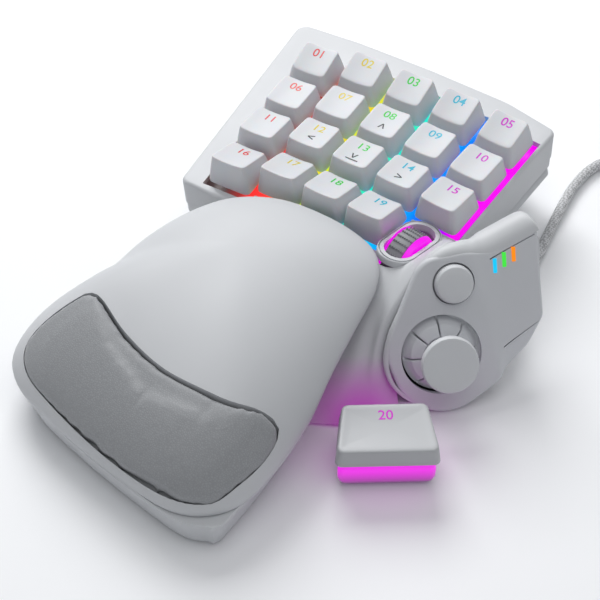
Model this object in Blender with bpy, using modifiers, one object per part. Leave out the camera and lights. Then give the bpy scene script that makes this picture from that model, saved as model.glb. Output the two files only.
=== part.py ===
"""One-hand gaming keypad for the left hand: twenty keys, a scroll wheel, a thumb module and a palm rest.

X runs to the right, Y away from the user and Z up. Lengths in this file are millimetres and are
turned into metres when a mesh is made. The object stands on its rubber feet at Z = 0.
"""

import math

import bmesh
import bpy
from mathutils import Matrix, Vector

MM = 0.001
GAP = 0.3                                   # air between pieces that touch on the real object

# Place of the whole object, so that its box is centred on the origin.
SHIFT = Vector((0.48, 0.1, 0.0))

# Key field. The deck plane rises away from the user; the columns fan out slightly.
DECK_CENTRE = Vector((-13.0, 51.5, 33.0))
DECK_SLOPE = math.radians(5.4)
COLUMN_PITCH = 19.05
ROW_PITCH = 18.6
COLUMN_NUDGE = (0.9, 0.2, 0.0, -0.4, -0.5)  # sideways from the even pitch
COLUMN_SETBACK = (-4.0, 0.4, 0.4, 0.0, -1.4)
COLUMN_TURN = tuple(math.radians(t) for t in (2.6, 2.0, 0.4, -1.0, -3.4))
ROW_HEIGHT = (10.8, 9.2, 10.0, 10.3)        # middle of each row's key top above the deck
ROW_TILT = tuple(math.radians(t) for t in (12.0, -3.3, -10.0, -22.0))
ROW_TOP_DEPTH = (12.9, 15.2, 14.9, 14.9)
ROW_TOP_SHIFT = (-0.6, 0.2, 0.1, 0.1)
KEY_TOP_WIDTH = 13.8
KEY_BASE = 17.2
KEY_SKIRT = 0.8                             # skirt's lower edge above the deck
KEY_WALL = 1.3
KEY_TRAVEL = 3.6

# Deck shells.
DECK_WALL = 2.2
DECK_DEPTH = 12.0                           # top of the deck to the parting line
TRAY_DEPTH = 21.5                           # top of the deck to the underside of the tray
FOOT_HEIGHT = 1.0
FLOOR = FOOT_HEIGHT + GAP                   # underside of the shells

# Scroll wheel.
WHEEL_CENTRE = Vector((21.8, 18.4, 34.6))   # middle of the slot, on the cover's surface
WHEEL_TURN = math.radians(-8.0)
WHEEL_TILT = math.radians(-9.0)
WHEEL_RADIUS = 10.5
WHEEL_DROP = 7.0                            # axle below the cover's surface
TYRE_WIDTH = 4.8
RIM_WIDTH = 1.6
SLOT = (10.2, 21.6)
BEZEL = (12.6, 25.0)
WHEEL_PRESS = 0.8

# Thumb module: a flat face that looks to the right, towards the user and up.
FACE_ORIGIN = Vector((49.5, -6.6, 18.6))    # middle of the thumb pad
FACE_YAW = math.radians(42.0)
FACE_RISE = math.radians(33.0)
FACE_THICKNESS = 2.4
PAD_RADIUS = 19.2                           # round lower end of the face
PAD_HOLE = 14.2
RING_RADIUS = 12.6
STICK_RADIUS = 9.5
STICK_HEIGHT = 13.6
STICK_TILT_PIVOT = 5.5                      # tilt point behind the face
BUTTON_AT = (5.5, 23.6)
BUTTON_RADIUS = 6.5
BUTTON_TRAVEL = 1.2

# Thumb key.
THUMB_KEY_AT = Vector((50.0, -43.2, 0.0))
THUMB_KEY_TURN = math.radians(34.5)
THUMB_KEY_TOP = 19.5
THUMB_KEY_TRAVEL = 3.0

# Palm rest outline with its rim height, counterclockwise from the front right corner.
PALM_OUTLINE = (
    (20.0, -98.0, 15.5), (26.0, -89.0, 15.5), (28.5, -75.0, 17.0), (28.8, -57.0, 20.5),
    (26.5, -38.0, 27.0), (25.2, -22.0, 32.0), (23.2, -6.0, 35.2), (17.5, 4.5, 36.4),
    (7.5, 10.0, 36.6), (-8.0, 12.5, 36.2), (-26.0, 11.5, 35.2), (-42.0, 4.0, 33.0),
    (-53.0, -9.0, 29.5), (-60.0, -26.0, 26.0), (-64.0, -44.0, 21.5), (-70.5, -58.0, 17.5),
    (-74.0, -72.0, 15.5), (-69.5, -85.0, 15.5), (-56.0, -93.5, 15.5), (-32.0, -99.0, 15.5),
    (-5.0, -103.0, 15.5), (10.0, -103.0, 15.5))
PALM_PEAK = Vector((-18.0, -22.0, 47.0))
PALM_WALL = 2.6
PALM_LIP = 2.6
PALM_TRAVEL = 12.0
CUSHION_OUTLINE = (
    (23.0, -87.0), (25.0, -74.0), (24.2, -66.0), (17.0, -66.5), (1.0, -71.0), (-22.0, -71.0),
    (-42.0, -65.0), (-51.0, -62.0), (-57.5, -66.5), (-64.0, -76.0), (-63.0, -83.5),
    (-54.0, -89.5), (-31.0, -95.0), (-5.0, -99.0), (9.0, -99.0), (18.0, -94.5))
CUSHION_CENTRE = Vector((-20.0, -80.0))
CUSHION_DEPTH = 4.0
BED_CLEARANCE = 1.5

# Cable.
CABLE_DIAMETER = 4.0
CABLE_ROUTE = (
    (55.0, 33.0, 13.0), (53.9, 41.0, 9.0), (52.5, 51.0, 5.0), (51.0, 61.0, 2.9), (49.8, 71.0, 2.2),
    (48.4, 80.0, 2.2),
    (47.0, 90.0, 2.2), (45.8, 100.0, 2.2), (45.2, 110.0, 2.2), (46.2, 120.0, 2.2),
    (49.8, 128.4, 2.2), (57.0, 132.8, 2.2), (66.0, 133.4, 2.2), (74.0, 132.6, 2.2),
    (80.0, 131.9, 2.2))
COIL_CENTRE = Vector((98.0, 158.0))
COIL_RADII = (12.0, 29.0)
COIL_HEIGHT = 16.4


def scene_collection(name):
    """Add a collection to the scene."""
    collection = bpy.data.collections.new(name)
    bpy.context.scene.collection.children.link(collection)
    return collection


def finish(name, colour, roughness, metallic=0.0):
    """Make a Principled material."""
    material = bpy.data.materials.new(name)
    material.use_nodes = True
    shader = material.node_tree.nodes["Principled BSDF"]
    shader.inputs["Base Color"].default_value = (*colour, 1.0)
    shader.inputs["Roughness"].default_value = roughness
    shader.inputs["Metallic"].default_value = metallic
    return material


def add_object(name, mesh, place, material, collection, parent=None):
    """Link an object whose mesh is in millimetres at a place given in millimetres."""
    mesh.transform(Matrix.Scale(MM, 4))
    obj = bpy.data.objects.new(name, mesh)
    collection.objects.link(obj)
    flat = place.copy()
    flat.translation = flat.translation * MM
    obj.matrix_world = flat
    if material is not None and not mesh.materials:
        mesh.materials.append(material)
    if parent is not None:
        obj.parent = parent
        obj.matrix_parent_inverse = parent.matrix_world.inverted()
    return obj


def shifted(vector):
    """Move a point of the design into the object's frame."""
    return Vector(vector) + SHIFT


def at(vector, rotation=None):
    """Matrix of a place in the object's frame, in millimetres."""
    matrix = Matrix.Translation(shifted(vector))
    return matrix @ rotation.to_4x4() if rotation is not None else matrix


def deck_place(x=0.0, u=0.0, w=0.0, turn=0.0):
    """Matrix of a place on the deck plane: x across, u up the slope, w out of the plane."""
    slope = Matrix.Rotation(DECK_SLOPE, 4, "X")
    return at(DECK_CENTRE) @ slope @ Matrix.Translation((x, u, w)) @ Matrix.Rotation(turn, 4, "Z")


def face_place(p=0.0, q=0.0, n=0.0):
    """Matrix of a place on the thumb face: p across, q up the face, n out of it."""
    across = Vector((math.cos(FACE_YAW), math.sin(FACE_YAW), 0.0))
    out = Vector((math.sin(FACE_YAW) * math.cos(FACE_RISE),
                  -math.cos(FACE_YAW) * math.cos(FACE_RISE), math.sin(FACE_RISE)))
    rotation = Matrix((across, out.cross(across), out)).transposed()
    return at(FACE_ORIGIN, rotation) @ Matrix.Translation((p, q, n))


def wheel_place(n=0.0):
    """Matrix of the wheel: x along the axle, y along the slot, z out of the cover."""
    rotation = Matrix.Rotation(WHEEL_TURN, 3, "Z") @ Matrix.Rotation(WHEEL_TILT, 3, "X")
    return at(WHEEL_CENTRE, rotation) @ Matrix.Translation((0.0, 0.0, n))


def ring_solid(rings):
    """Close a stack of rings of equal size into one solid, its first ring on the outer side."""
    bm = bmesh.new()
    loops = [[bm.verts.new(point) for point in ring] for ring in rings]
    for lower, upper in zip(loops, loops[1:]):
        for i in range(len(lower)):
            j = (i + 1) % len(lower)
            bm.faces.new((lower[i], lower[j], upper[j], upper[i]))
    bm.faces.new(loops[0])
    bm.faces.new(loops[-1])
    bmesh.ops.recalc_face_normals(bm, faces=bm.faces)
    mesh = bpy.data.meshes.new("rings")
    bm.to_mesh(mesh)
    bm.free()
    return mesh


def tub_solid(outer, inner):
    """Open tub from outer rings, rim first, and inner rings, floor first."""
    bm = bmesh.new()
    sides = [[[bm.verts.new(point) for point in ring] for ring in rings] for rings in (outer, inner)]
    count = len(outer[0])

    def band(lower, upper):
        for i in range(count):
            j = (i + 1) % count
            bm.faces.new((lower[i], lower[j], upper[j], upper[i]))

    for loops in sides:
        for lower, upper in zip(loops, loops[1:]):
            band(lower, upper)
        bm.faces.new(loops[-1] if loops is sides[0] else loops[0])
    band(sides[1][-1], sides[0][0])
    bmesh.ops.recalc_face_normals(bm, faces=bm.faces)
    mesh = bpy.data.meshes.new("tub")
    bm.to_mesh(mesh)
    bm.free()
    return mesh


def outline_plate(outline, low, high):
    """Mesh of a flat outline between two heights, made from a filled curve."""
    curve = bpy.data.curves.new("outline", "CURVE")
    curve.dimensions = "2D"
    curve.fill_mode = "BOTH"
    curve.extrude = (high - low) / 2
    spline = curve.splines.new("POLY")
    spline.points.add(len(outline) - 1)
    for point, (x, y) in zip(spline.points, outline):
        point.co = (x, y, 0.0, 1.0)
    spline.use_cyclic_u = True
    source = bpy.data.objects.new("outline", curve)
    bpy.context.scene.collection.objects.link(source)
    graph = bpy.context.evaluated_depsgraph_get()
    mesh = bpy.data.meshes.new_from_object(source.evaluated_get(graph))
    bpy.data.objects.remove(source)
    bpy.data.curves.remove(curve)
    bm = bmesh.new()
    bm.from_mesh(mesh)
    bmesh.ops.remove_doubles(bm, verts=bm.verts, dist=0.001)
    bmesh.ops.recalc_face_normals(bm, faces=bm.faces)
    bmesh.ops.translate(bm, verts=bm.verts, vec=(0.0, 0.0, (low + high) / 2))
    bm.to_mesh(mesh)
    bm.free()
    return mesh


def box_mesh(width, depth, low, high):
    """Box centred in plan between two heights."""
    bm = bmesh.new()
    bmesh.ops.create_cube(bm, size=1.0)
    bmesh.ops.scale(bm, verts=bm.verts, vec=(width, depth, high - low))
    bmesh.ops.translate(bm, verts=bm.verts, vec=(0.0, 0.0, (low + high) / 2))
    mesh = bpy.data.meshes.new("box")
    bm.to_mesh(mesh)
    bm.free()
    return mesh


def round_mesh(radius, low, high, top_radius=None, segments=24):
    """Cylinder or cone about the local Z axis."""
    bm = bmesh.new()
    bmesh.ops.create_cone(bm, cap_ends=True, segments=segments, radius1=radius,
                          radius2=radius if top_radius is None else top_radius, depth=high - low)
    bmesh.ops.translate(bm, verts=bm.verts, vec=(0.0, 0.0, (low + high) / 2))
    mesh = bpy.data.meshes.new("round")
    bm.to_mesh(mesh)
    bm.free()
    return mesh


def turned_solid(profile, segments=24):
    """Solid turned about the local Z axis from (radius, height) points that never touch the axis."""
    bm = bmesh.new()
    loops = []
    for radius, height in profile:
        loops.append([bm.verts.new((radius * math.cos(a), radius * math.sin(a), height))
                      for a in (math.tau * i / segments for i in range(segments))])
    for lower, upper in zip(loops, loops[1:] + loops[:1]):
        for i in range(segments):
            j = (i + 1) % segments
            bm.faces.new((lower[i], lower[j], upper[j], upper[i]))
    bmesh.ops.recalc_face_normals(bm, faces=bm.faces)
    mesh = bpy.data.meshes.new("turned")
    bm.to_mesh(mesh)
    bm.free()
    return mesh


def arc(centre, radius, start, stop, steps):
    """Points along an arc, angles in degrees."""
    points = []
    for i in range(steps + 1):
        angle = math.radians(start + (stop - start) * i / steps)
        points.append((centre[0] + radius * math.cos(angle), centre[1] + radius * math.sin(angle)))
    return points


def stadium(width, length, steps=6):
    """Outline with straight sides and round ends, long along Y."""
    radius = width / 2
    reach = (length - width) / 2
    return arc((0.0, reach), radius, 0, 180, steps) + arc((0.0, -reach), radius, 180, 360, steps)


def chamfered(width, depth, cut):
    """Eight-cornered outline of a rectangle with its corners cut."""
    x, y = width / 2, depth / 2
    return [(x - cut, -y), (x, -y + cut), (x, y - cut), (x - cut, y),
            (-x + cut, y), (-x, y - cut), (-x, -y + cut), (-x + cut, -y)]


def grown(outline, amount):
    """Offset a counterclockwise outline outwards, or inwards when the amount is negative."""
    result = []
    for i, point in enumerate(outline):
        here = Vector(point[:2])
        before = (here - Vector(outline[i - 1][:2])).normalized()
        after = (Vector(outline[(i + 1) % len(outline)][:2]) - here).normalized()
        out = Vector((before.y + after.y, -before.x - after.x)).normalized()
        square = max(0.5, out.dot(Vector((after.y, -after.x))))
        result.append(tuple(here + out * (amount / square)))
    return result


def modifier_cut(obj, cutter, operation="DIFFERENCE"):
    """Cut a piece with another object, or join that object to it."""
    modifier = obj.modifiers.new(cutter.name, "BOOLEAN")
    modifier.operation = operation
    modifier.object = cutter
    modifier.solver = "EXACT"


class Workshop:
    """Collections and finishes that every piece needs."""

    def __init__(self):
        self.parts = scene_collection("one_hand_keypad")
        self.cutters = scene_collection("cutters")
        self.white = finish("white_abs", (0.80, 0.81, 0.83), 0.42)
        self.keycap = finish("translucent_keycap", (0.84, 0.85, 0.87), 0.5)
        self.grey = finish("grey_trim", (0.55, 0.57, 0.60), 0.45)
        self.leather = finish("grey_leatherette", (0.33, 0.34, 0.36), 0.62)
        self.rubber = finish("dark_rubber", (0.05, 0.05, 0.055), 0.8)
        self.silicone = finish("silicone", (0.72, 0.72, 0.70), 0.6)
        self.board = finish("circuit_board", (0.03, 0.16, 0.08), 0.5)
        self.steel = finish("steel", (0.62, 0.62, 0.64), 0.3, 1.0)
        self.glow = finish("magenta_light", (0.85, 0.06, 0.85), 0.3)
        self.braid = finish("braided_sleeve", (0.62, 0.63, 0.65), 0.8)

    def piece(self, name, mesh, place, material, parent=None):
        """Add a named sub-part."""
        return add_object(name, mesh, place, material, self.parts, parent)

    def cutter(self, name, mesh, place):
        """Add a helper solid that is never shown."""
        obj = add_object(name, mesh, place, None, self.cutters)
        obj.hide_render = True
        obj.display_type = "WIRE"
        return obj


def deck_outline():
    """Plan of the deck in its own plane, with its rear edge bowed outwards."""
    rear = []
    left, right, bow = Vector((-59.6, 44.6)), Vector((51.2, 42.2)), 3.0
    for i in range(7):
        t = i / 6
        point = right.lerp(left, t)
        rear.append((point.x, point.y + bow * 4 * t * (1 - t) + 3.6))
    corner_right = [(right.x + 1.0, right.y + 1.4)]
    corner_left = [(left.x - 1.2, left.y + 1.8)]
    rear[0] = (rear[0][0] - 1.6, rear[0][1])
    rear[-1] = (rear[-1][0] + 2.0, rear[-1][1])
    return ([(-54.6, -43.5), (-52.6, -45.0), (27.6, -45.0), (27.6, -22.0), (47.6, -22.0)]
            + corner_right + rear + corner_left)


def key_column(column):
    """Sideways place, setback and turn of a key column."""
    x = (column - 2) * COLUMN_PITCH + COLUMN_NUDGE[column]
    return x, COLUMN_SETBACK[column], COLUMN_TURN[column]


def key_centre(row, column):
    """Place of a key on the deck plane."""
    x, setback, turn = key_column(column)
    v = (1.5 - row) * ROW_PITCH
    return x - v * math.sin(turn), setback + v * math.cos(turn)


def keycap_mesh(row):
    """Hollow sculpted keycap with its stem, its base centre at the origin."""
    depth, tilt, height = ROW_TOP_DEPTH[row], ROW_TILT[row], ROW_HEIGHT[row]
    shift = ROW_TOP_SHIFT[row]
    cap_thickness = 1.6

    def ring(width, ring_depth, cut, z=None, drop=0.0, offset=0.0):
        points = []
        for x, y in chamfered(width, ring_depth, cut):
            top = height + y * math.sin(tilt) - drop
            points.append((x, y * (math.cos(tilt) if z is None else 1.0) + offset,
                           top if z is None else z))
        return points

    inner_base = KEY_BASE - 2 * KEY_WALL
    inner_top = KEY_TOP_WIDTH - 2 * KEY_WALL
    stem = 5.0
    ceiling = height - 3.6
    return ring_solid([
        ring(KEY_TOP_WIDTH - 3.0, depth - 3.0, 1.0, drop=0.3, offset=shift),
        ring(KEY_TOP_WIDTH, depth, 1.2, offset=shift),
        ring(KEY_BASE, KEY_BASE, 1.2, z=KEY_SKIRT),
        ring(inner_base, inner_base, 1.0, z=KEY_SKIRT),
        ring(inner_top, min(inner_top, depth - 2 * cap_thickness), 1.0, z=ceiling, offset=shift),
        ring(stem, stem, 0.8, z=ceiling),
        ring(stem, stem, 0.8, z=-4.6)])


def make_keys(shop):
    """Nineteen keycaps, four rows of five less the place of the wheel."""
    meshes = [keycap_mesh(row) for row in range(4)]
    for mesh in meshes:
        mesh.transform(Matrix.Scale(MM, 4))
        mesh.materials.append(shop.keycap)
    number = 0
    for row in range(4):
        for column in range(5):
            number += 1
            if number == 20:
                continue
            x, u = key_centre(row, column)
            obj = bpy.data.objects.new(f"keycap_{number:02d}", meshes[row])
            shop.parts.objects.link(obj)
            place = deck_place(x, u, 0.0, key_column(column)[2])
            place.translation = place.translation * MM
            obj.matrix_world = place


def make_deck(shop):
    """Deck cover with its key opening, and the tray and pedestal under it."""
    cover = shop.piece("deck_cover", outline_plate(deck_outline(), -DECK_DEPTH, 0.0),
                       deck_place(), shop.white)
    inside = grown(deck_outline(), -DECK_WALL)
    modifier_cut(cover, shop.cutter("deck_cavity", outline_plate(inside, -DECK_DEPTH - 2, -DECK_WALL),
                                    deck_place()))
    for column in range(5):
        x, setback, turn = key_column(column)
        rows = 3 if column == 4 else 4
        length = rows * ROW_PITCH + (-0.2 if rows == 3 else 1.4)
        u = (4 - rows) * ROW_PITCH / 2 + setback
        width = COLUMN_PITCH + 0.8
        nudge = 0.5 if column == 4 else 0.0
        opening = box_mesh(width, length, -DECK_WALL - 2, 2.0)
        place = deck_place(x, setback, 0.0, turn) @ Matrix.Translation((nudge, u - setback, 0.0))
        modifier_cut(cover, shop.cutter(f"key_opening_{column + 1}", opening, place))

    tray = shop.piece("bottom_tray", outline_plate(deck_outline(), -TRAY_DEPTH, -DECK_DEPTH - GAP),
                      deck_place(), shop.white)
    pedestal = pedestal_outline()
    foot_mesh = outline_plate(pedestal, FLOOR, 17.0)
    modifier_cut(tray, shop.cutter("pedestal_block", foot_mesh, at((0.0, 0.0, 0.0))), "UNION")
    modifier_cut(tray, shop.cutter("tray_cavity", outline_plate(
        grown(deck_outline(), -DECK_WALL), -TRAY_DEPTH + DECK_WALL, 0.0), deck_place()))
    modifier_cut(tray, shop.cutter("pedestal_cavity", outline_plate(
        grown(pedestal, -DECK_WALL), FLOOR + DECK_WALL, 20.0), at((0.0, 0.0, 0.0))))
    return tray


def pedestal_outline():
    """Plan of the narrower foot of the body."""
    return [(-58.0, 13.5), (12.0, 13.5), (12.0, 36.0), (27.5, 36.0), (29.5, 90.0), (26.0, 93.0),
            (-60.0, 92.0), (-63.0, 89.0)]


def make_key_works(shop):
    """Guide frame, dome sheet and circuit board under the keys."""
    well = grown([(-51.5, -42.0), (25.2, -42.0), (25.2, -19.4), (44.6, -19.4), (48.6, 41.0),
                  (-56.0, 42.0)], -0.5)
    frame_top, frame_bottom = -4.6, -6.2
    frame = shop.piece("key_guide_frame", outline_plate(well, frame_bottom, frame_top),
                       deck_place(), shop.white)
    dome_top, sheet_top, sheet_bottom = -8.8, -9.6, -10.4
    sheet = shop.piece("dome_sheet", outline_plate(grown(well, -0.4), sheet_bottom, sheet_top),
                       deck_place(), shop.silicone)
    board = shop.piece("main_board", outline_plate(well, sheet_bottom - GAP - 1.6,
                                                   sheet_bottom - GAP), deck_place(), shop.board)
    guide = ring_solid([[(x, y, z) for x, y in chamfered(size, size, 0.6)]
                        for size, z in ((7.6, -5.4), (7.6, 1.6))])
    bore = box_mesh(5.8, 5.8, -8.0, 4.0)
    dome = round_mesh(4.2, sheet_top - 0.4, dome_top, 2.6, 10)
    for mesh in (guide, bore, dome):
        mesh.transform(Matrix.Scale(MM, 4))
    number = 0
    for row in range(4):
        for column in range(5):
            number += 1
            if number == 20:
                continue
            x, u = key_centre(row, column)
            place = deck_place(x, u, 0.0, key_column(column)[2])
            place.translation = place.translation * MM
            for piece, mesh, operation in ((frame, guide, "UNION"), (frame, bore, "DIFFERENCE"),
                                           (sheet, dome, "UNION")):
                helper = bpy.data.objects.new(f"{piece.name}_{operation.lower()}_{number:02d}", mesh)
                shop.cutters.objects.link(helper)
                helper.matrix_world = place
                helper.hide_render = True
                helper.display_type = "WIRE"
                modifier_cut(piece, helper, operation)
    return board


def surface_patch(rows, thickness):
    """Mesh of a curved sheet through rows of points, thickened downwards."""
    bm = bmesh.new()
    grid = [[bm.verts.new(shifted(point)) for point in row] for row in rows]
    for lower, upper in zip(grid, grid[1:]):
        for i in range(len(lower) - 1):
            bm.faces.new((lower[i], upper[i], upper[i + 1], lower[i + 1]))
    bmesh.ops.recalc_face_normals(bm, faces=bm.faces)
    middle = bm.faces[:][len(bm.faces) // 2]
    if middle.normal.z < 0:
        bmesh.ops.reverse_faces(bm, faces=bm.faces)
    bmesh.ops.subdivide_edges(bm, edges=bm.edges, cuts=1, use_grid_fill=True, smooth=0.7)
    mesh = bpy.data.meshes.new("patch")
    bm.to_mesh(mesh)
    bm.free()
    return mesh


# Waist cover: rows run from the wheel to the front edge, each from under the palm rest to the thumb face.
WAIST_ROWS = (
    ((15.6, 28.8, 32.6), (21.5, 28.8, 32.8), (28.0, 28.8, 32.8), (33.2, 28.8, 33.0)),
    ((14.0, 20.0, 33.8), (21.5, 20.0, 34.4), (28.5, 19.0, 35.2), (35.4, 17.6, 42.6)),
    ((14.0, 9.0, 33.0), (20.5, 8.0, 35.2), (28.0, 8.0, 37.2), (34.2, 8.2, 43.2)),
    ((9.0, -3.0, 28.0), (19.8, -5.0, 29.6), (27.0, -3.0, 31.8), (31.8, -3.0, 34.6)),
    ((5.0, -14.0, 22.6), (22.0, -15.0, 24.0), (27.0, -13.0, 24.2), (30.6, -12.6, 25.6)),
    ((7.0, -25.0, 16.0), (25.0, -25.0, 16.4), (29.6, -22.0, 15.6), (32.6, -20.6, 16.6)),
    ((13.0, -35.0, 8.0), (26.0, -33.6, 8.4), (31.6, -29.0, 8.0), (36.6, -24.6, 8.4)),
    ((20.5, -43.5, 1.5), (28.0, -39.5, 1.5), (35.5, -35.0, 1.5), (43.0, -30.5, 1.5)))


def make_waist(shop):
    """Curved cover between the wheel, the palm rest and the thumb face, with its floor plate."""
    cover = shop.piece("waist_cover", surface_patch(WAIST_ROWS, 2.0), Matrix.Identity(4), shop.white)
    shell = cover.modifiers.new("wall", "SOLIDIFY")
    shell.thickness = 1.8 * MM
    shell.offset = -1.0
    slot = outline_plate(stadium(BEZEL[0] + 2 * GAP, BEZEL[1] + 2 * GAP), -6.0, 6.0)
    modifier_cut(cover, shop.cutter("bezel_opening", slot, wheel_place()))
    plan = ((-6.0, 11.0), (-2.0, -14.0), (17.0, -34.5), (27.0, -31.0), (38.0, -23.5), (46.5, -18.0),
            (50.0, 4.0), (46.0, 12.0))
    floor = shop.piece("waist_floor", outline_plate(plan, FLOOR, FLOOR + 2.0),
                       at((0.0, 0.0, 0.0)), shop.white)
    modifier_cut(floor, shop.cutter("floor_notch", round_mesh(PAD_RADIUS + 0.6, -13.0, 1.0),
                                    face_place()))
    side = [(-2.0, FLOOR + 2.0 + GAP), (27.0, FLOOR + 2.0 + GAP), (27.0, 29.6), (18.0, 33.4),
            (8.0, 34.6), (-2.0, 29.0)]
    upright = Matrix.Rotation(math.radians(90), 3, "Z") @ Matrix.Rotation(math.radians(90), 3, "X")
    shop.piece("waist_side_wall", outline_plate(side, 0.0, 1.8), at((30.4, 0.0, 0.0), upright),
               shop.white)
    return floor


def make_wheel(shop):
    """Scroll wheel in its bezel: tyre, two lit rims, axle and the carrier that clicks down."""
    ring = outline_plate(stadium(*BEZEL), -1.6, 1.3)
    bezel = shop.piece("wheel_bezel", ring, wheel_place(), shop.white)
    modifier_cut(bezel, shop.cutter("wheel_slot", outline_plate(stadium(*SLOT), -4.0, 4.0),
                                    wheel_place()))
    axle_place = wheel_place(-WHEEL_DROP) @ Matrix.Rotation(math.radians(90), 4, "Y")
    half, hub = TYRE_WIDTH / 2, 1.6
    profile = [(WHEEL_RADIUS, half), (WHEEL_RADIUS, -half), (hub, -half), (hub, half)]
    shop.piece("wheel_tyre", turned_solid(profile, 32), axle_place, shop.grey)
    for side, name in ((1, "wheel_rim_right"), (-1, "wheel_rim_left")):
        near, far = side * (half + GAP), side * (half + GAP + RIM_WIDTH)
        rim = [(WHEEL_RADIUS - 0.2, near), (WHEEL_RADIUS - 0.9, far), (hub, far), (hub, near)]
        shop.piece(name, turned_solid(rim, 32), axle_place, shop.glow)
    reach = half + GAP + RIM_WIDTH + 1.6
    shop.piece("wheel_axle", round_mesh(hub - GAP, -reach, reach, segments=12), axle_place, shop.steel)
    carrier = shop.piece("wheel_carrier", box_mesh(12.4, 5.0, -WHEEL_RADIUS - 4.2, 2.4),
                         wheel_place(-WHEEL_DROP), shop.grey)
    modifier_cut(carrier, shop.cutter("carrier_gap", box_mesh(2 * (reach - 1.4), 12.0,
                                      -WHEEL_RADIUS - 1.8, 6.0), wheel_place(-WHEEL_DROP)))
    modifier_cut(carrier, shop.cutter("carrier_bore", round_mesh(hub, -12.0, 12.0, segments=12),
                                      axle_place))


def face_outline():
    """Outline of the thumb face: a teardrop whose right side runs out into the wing."""
    lower = arc((0.0, 0.0), PAD_RADIUS, 148, 292, 10)
    wing = [(21.5, -7.0), (32.0, 2.6), (34.8, 6.4), (35.8, 11.0), (35.6, 26.0), (34.9, 36.4)]
    upper = arc(BUTTON_AT, 10.6, 62, 148, 5)
    return lower + wing + [(16.0, 29.4)] + upper


def make_thumb_module(shop):
    """Thumb face with its back cover, wing bar, round button, stick and light pipe."""
    face = shop.piece("thumb_face", outline_plate(face_outline(), -FACE_THICKNESS, 0.0),
                      face_place(), shop.grey)
    hole = round_mesh(PAD_HOLE, -6.0, 6.0, segments=32)
    modifier_cut(face, shop.cutter("pad_hole", hole, face_place()))
    button_hole = round_mesh(BUTTON_RADIUS + 0.7, -6.0, 6.0, segments=24)
    modifier_cut(face, shop.cutter("button_hole", button_hole, face_place(*BUTTON_AT)))
    lights = [(20.0, 27.6), (23.3, 29.2), (26.6, 30.6)]
    pipe = shop.piece("status_light_pipe", box_mesh(9.6, 2.6, -5.0, -FACE_THICKNESS - 0.4),
                      face_place(24.2, 27.0) @ Matrix.Rotation(math.radians(22), 4, "Z"), shop.silicone)
    for i, (p, q) in enumerate(lights):
        slit = box_mesh(1.6, 4.8, -6.0, 6.0)
        modifier_cut(face, shop.cutter(f"light_slit_{i + 1}", slit, face_place(p, q)))
        prong = box_mesh(1.0, 3.8, -3.6, 0.0)
        modifier_cut(pipe, shop.cutter(f"light_prong_{i + 1}", prong, face_place(p, q)), "UNION")

    button = [(0.8, 2.6), (5.6, 2.6), (BUTTON_RADIUS, 1.7), (BUTTON_RADIUS, -3.2), (0.8, -3.2)]
    shop.piece("thumb_button", ring_solid([circle_ring(r, z, 24) for r, z in button]),
               face_place(*BUTTON_AT), shop.grey)
    make_stick(shop)
    make_thumb_back(shop)


def circle_ring(radius, height, segments):
    """Points of a circle about the local Z axis."""
    return [(radius * math.cos(a), radius * math.sin(a), height)
            for a in (math.tau * i / segments for i in range(segments))]


def make_stick(shop):
    """Eight-way pad and thumbstick in one tilting piece, its gimbal ring and its cup."""
    pad = [(0.8, STICK_HEIGHT), (STICK_RADIUS - 0.8, STICK_HEIGHT), (STICK_RADIUS, STICK_HEIGHT - 1.0),
           (STICK_RADIUS - 0.4, STICK_HEIGHT - 3.6), (4.6, STICK_HEIGHT - 4.4), (4.2, 2.2),
           (6.6, 1.6), (RING_RADIUS - 2.2, 0.4), (RING_RADIUS, -1.6), (RING_RADIUS, -3.0),
           (3.0, -3.0), (3.0, -4.4), (0.8, -4.4)]
    stick = shop.piece("thumbstick", ring_solid([circle_ring(r, z, 32) for r, z in pad]),
                       face_place(), shop.grey)
    for i in range(4):
        angle = math.tau * (i + 0.5) / 8
        groove = shop.cutter(f"pad_groove_{i + 1}", box_mesh(0.7, 40.0, -0.9, 3.0),
                             face_place() @ Matrix.Rotation(angle, 4, "Z"))
        hub = shop.cutter(f"pad_groove_hub_{i + 1}", round_mesh(7.0, -2.0, 4.0, segments=16),
                          face_place())
        modifier_cut(groove, hub)
        modifier_cut(stick, groove)
    gimbal = [(6.4, -4.7), (6.4, -6.3), (4.2, -6.3), (4.2, -4.7)]
    shop.piece("stick_gimbal_ring", turned_solid(gimbal, 16), face_place(), shop.steel)
    cup = [(PAD_HOLE + 0.8, -FACE_THICKNESS - GAP), (PAD_HOLE + 0.8, -8.4), (0.8, -8.4),
           (0.8, -7.4), (PAD_HOLE - 0.4, -7.4), (PAD_HOLE - 0.4, -FACE_THICKNESS - GAP)]
    shop.piece("thumb_pad_cup", turned_solid(cup, 32), face_place(), shop.white)


# Outline of the housing behind the thumb face: across, up and depth.
HOUSING = ((9.0, 33.2, 8.0), (1.5, 30.5, 5.6), (-3.0, 20.5, 6.0), (9.0, 15.4, 8.0), (17.0, 5.6, 11.0),
           (20.2, -3.0, 9.0), (27.0, 0.0, 11.0), (33.0, 8.0, 12.6), (34.0, 24.0, 13.2),
           (33.6, 36.6, 13.0), (16.0, 29.4, 11.0))
HOUSING_CENTRE = (18.0, 20.0)
HOUSING_MID_DEPTH = 11.0


def housing_ring(inset, share, lift):
    """Ring of the housing: drawn in towards its centre, at a share of its depth."""
    ring = []
    for p, q, depth in HOUSING:
        place = Vector((p, q)).lerp(Vector(HOUSING_CENTRE), inset)
        rim = -FACE_THICKNESS - GAP
        here = depth + (HOUSING_MID_DEPTH - depth) * inset
        ring.append((place.x, place.y, rim - (here + rim) * share + lift))
    return ring


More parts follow.
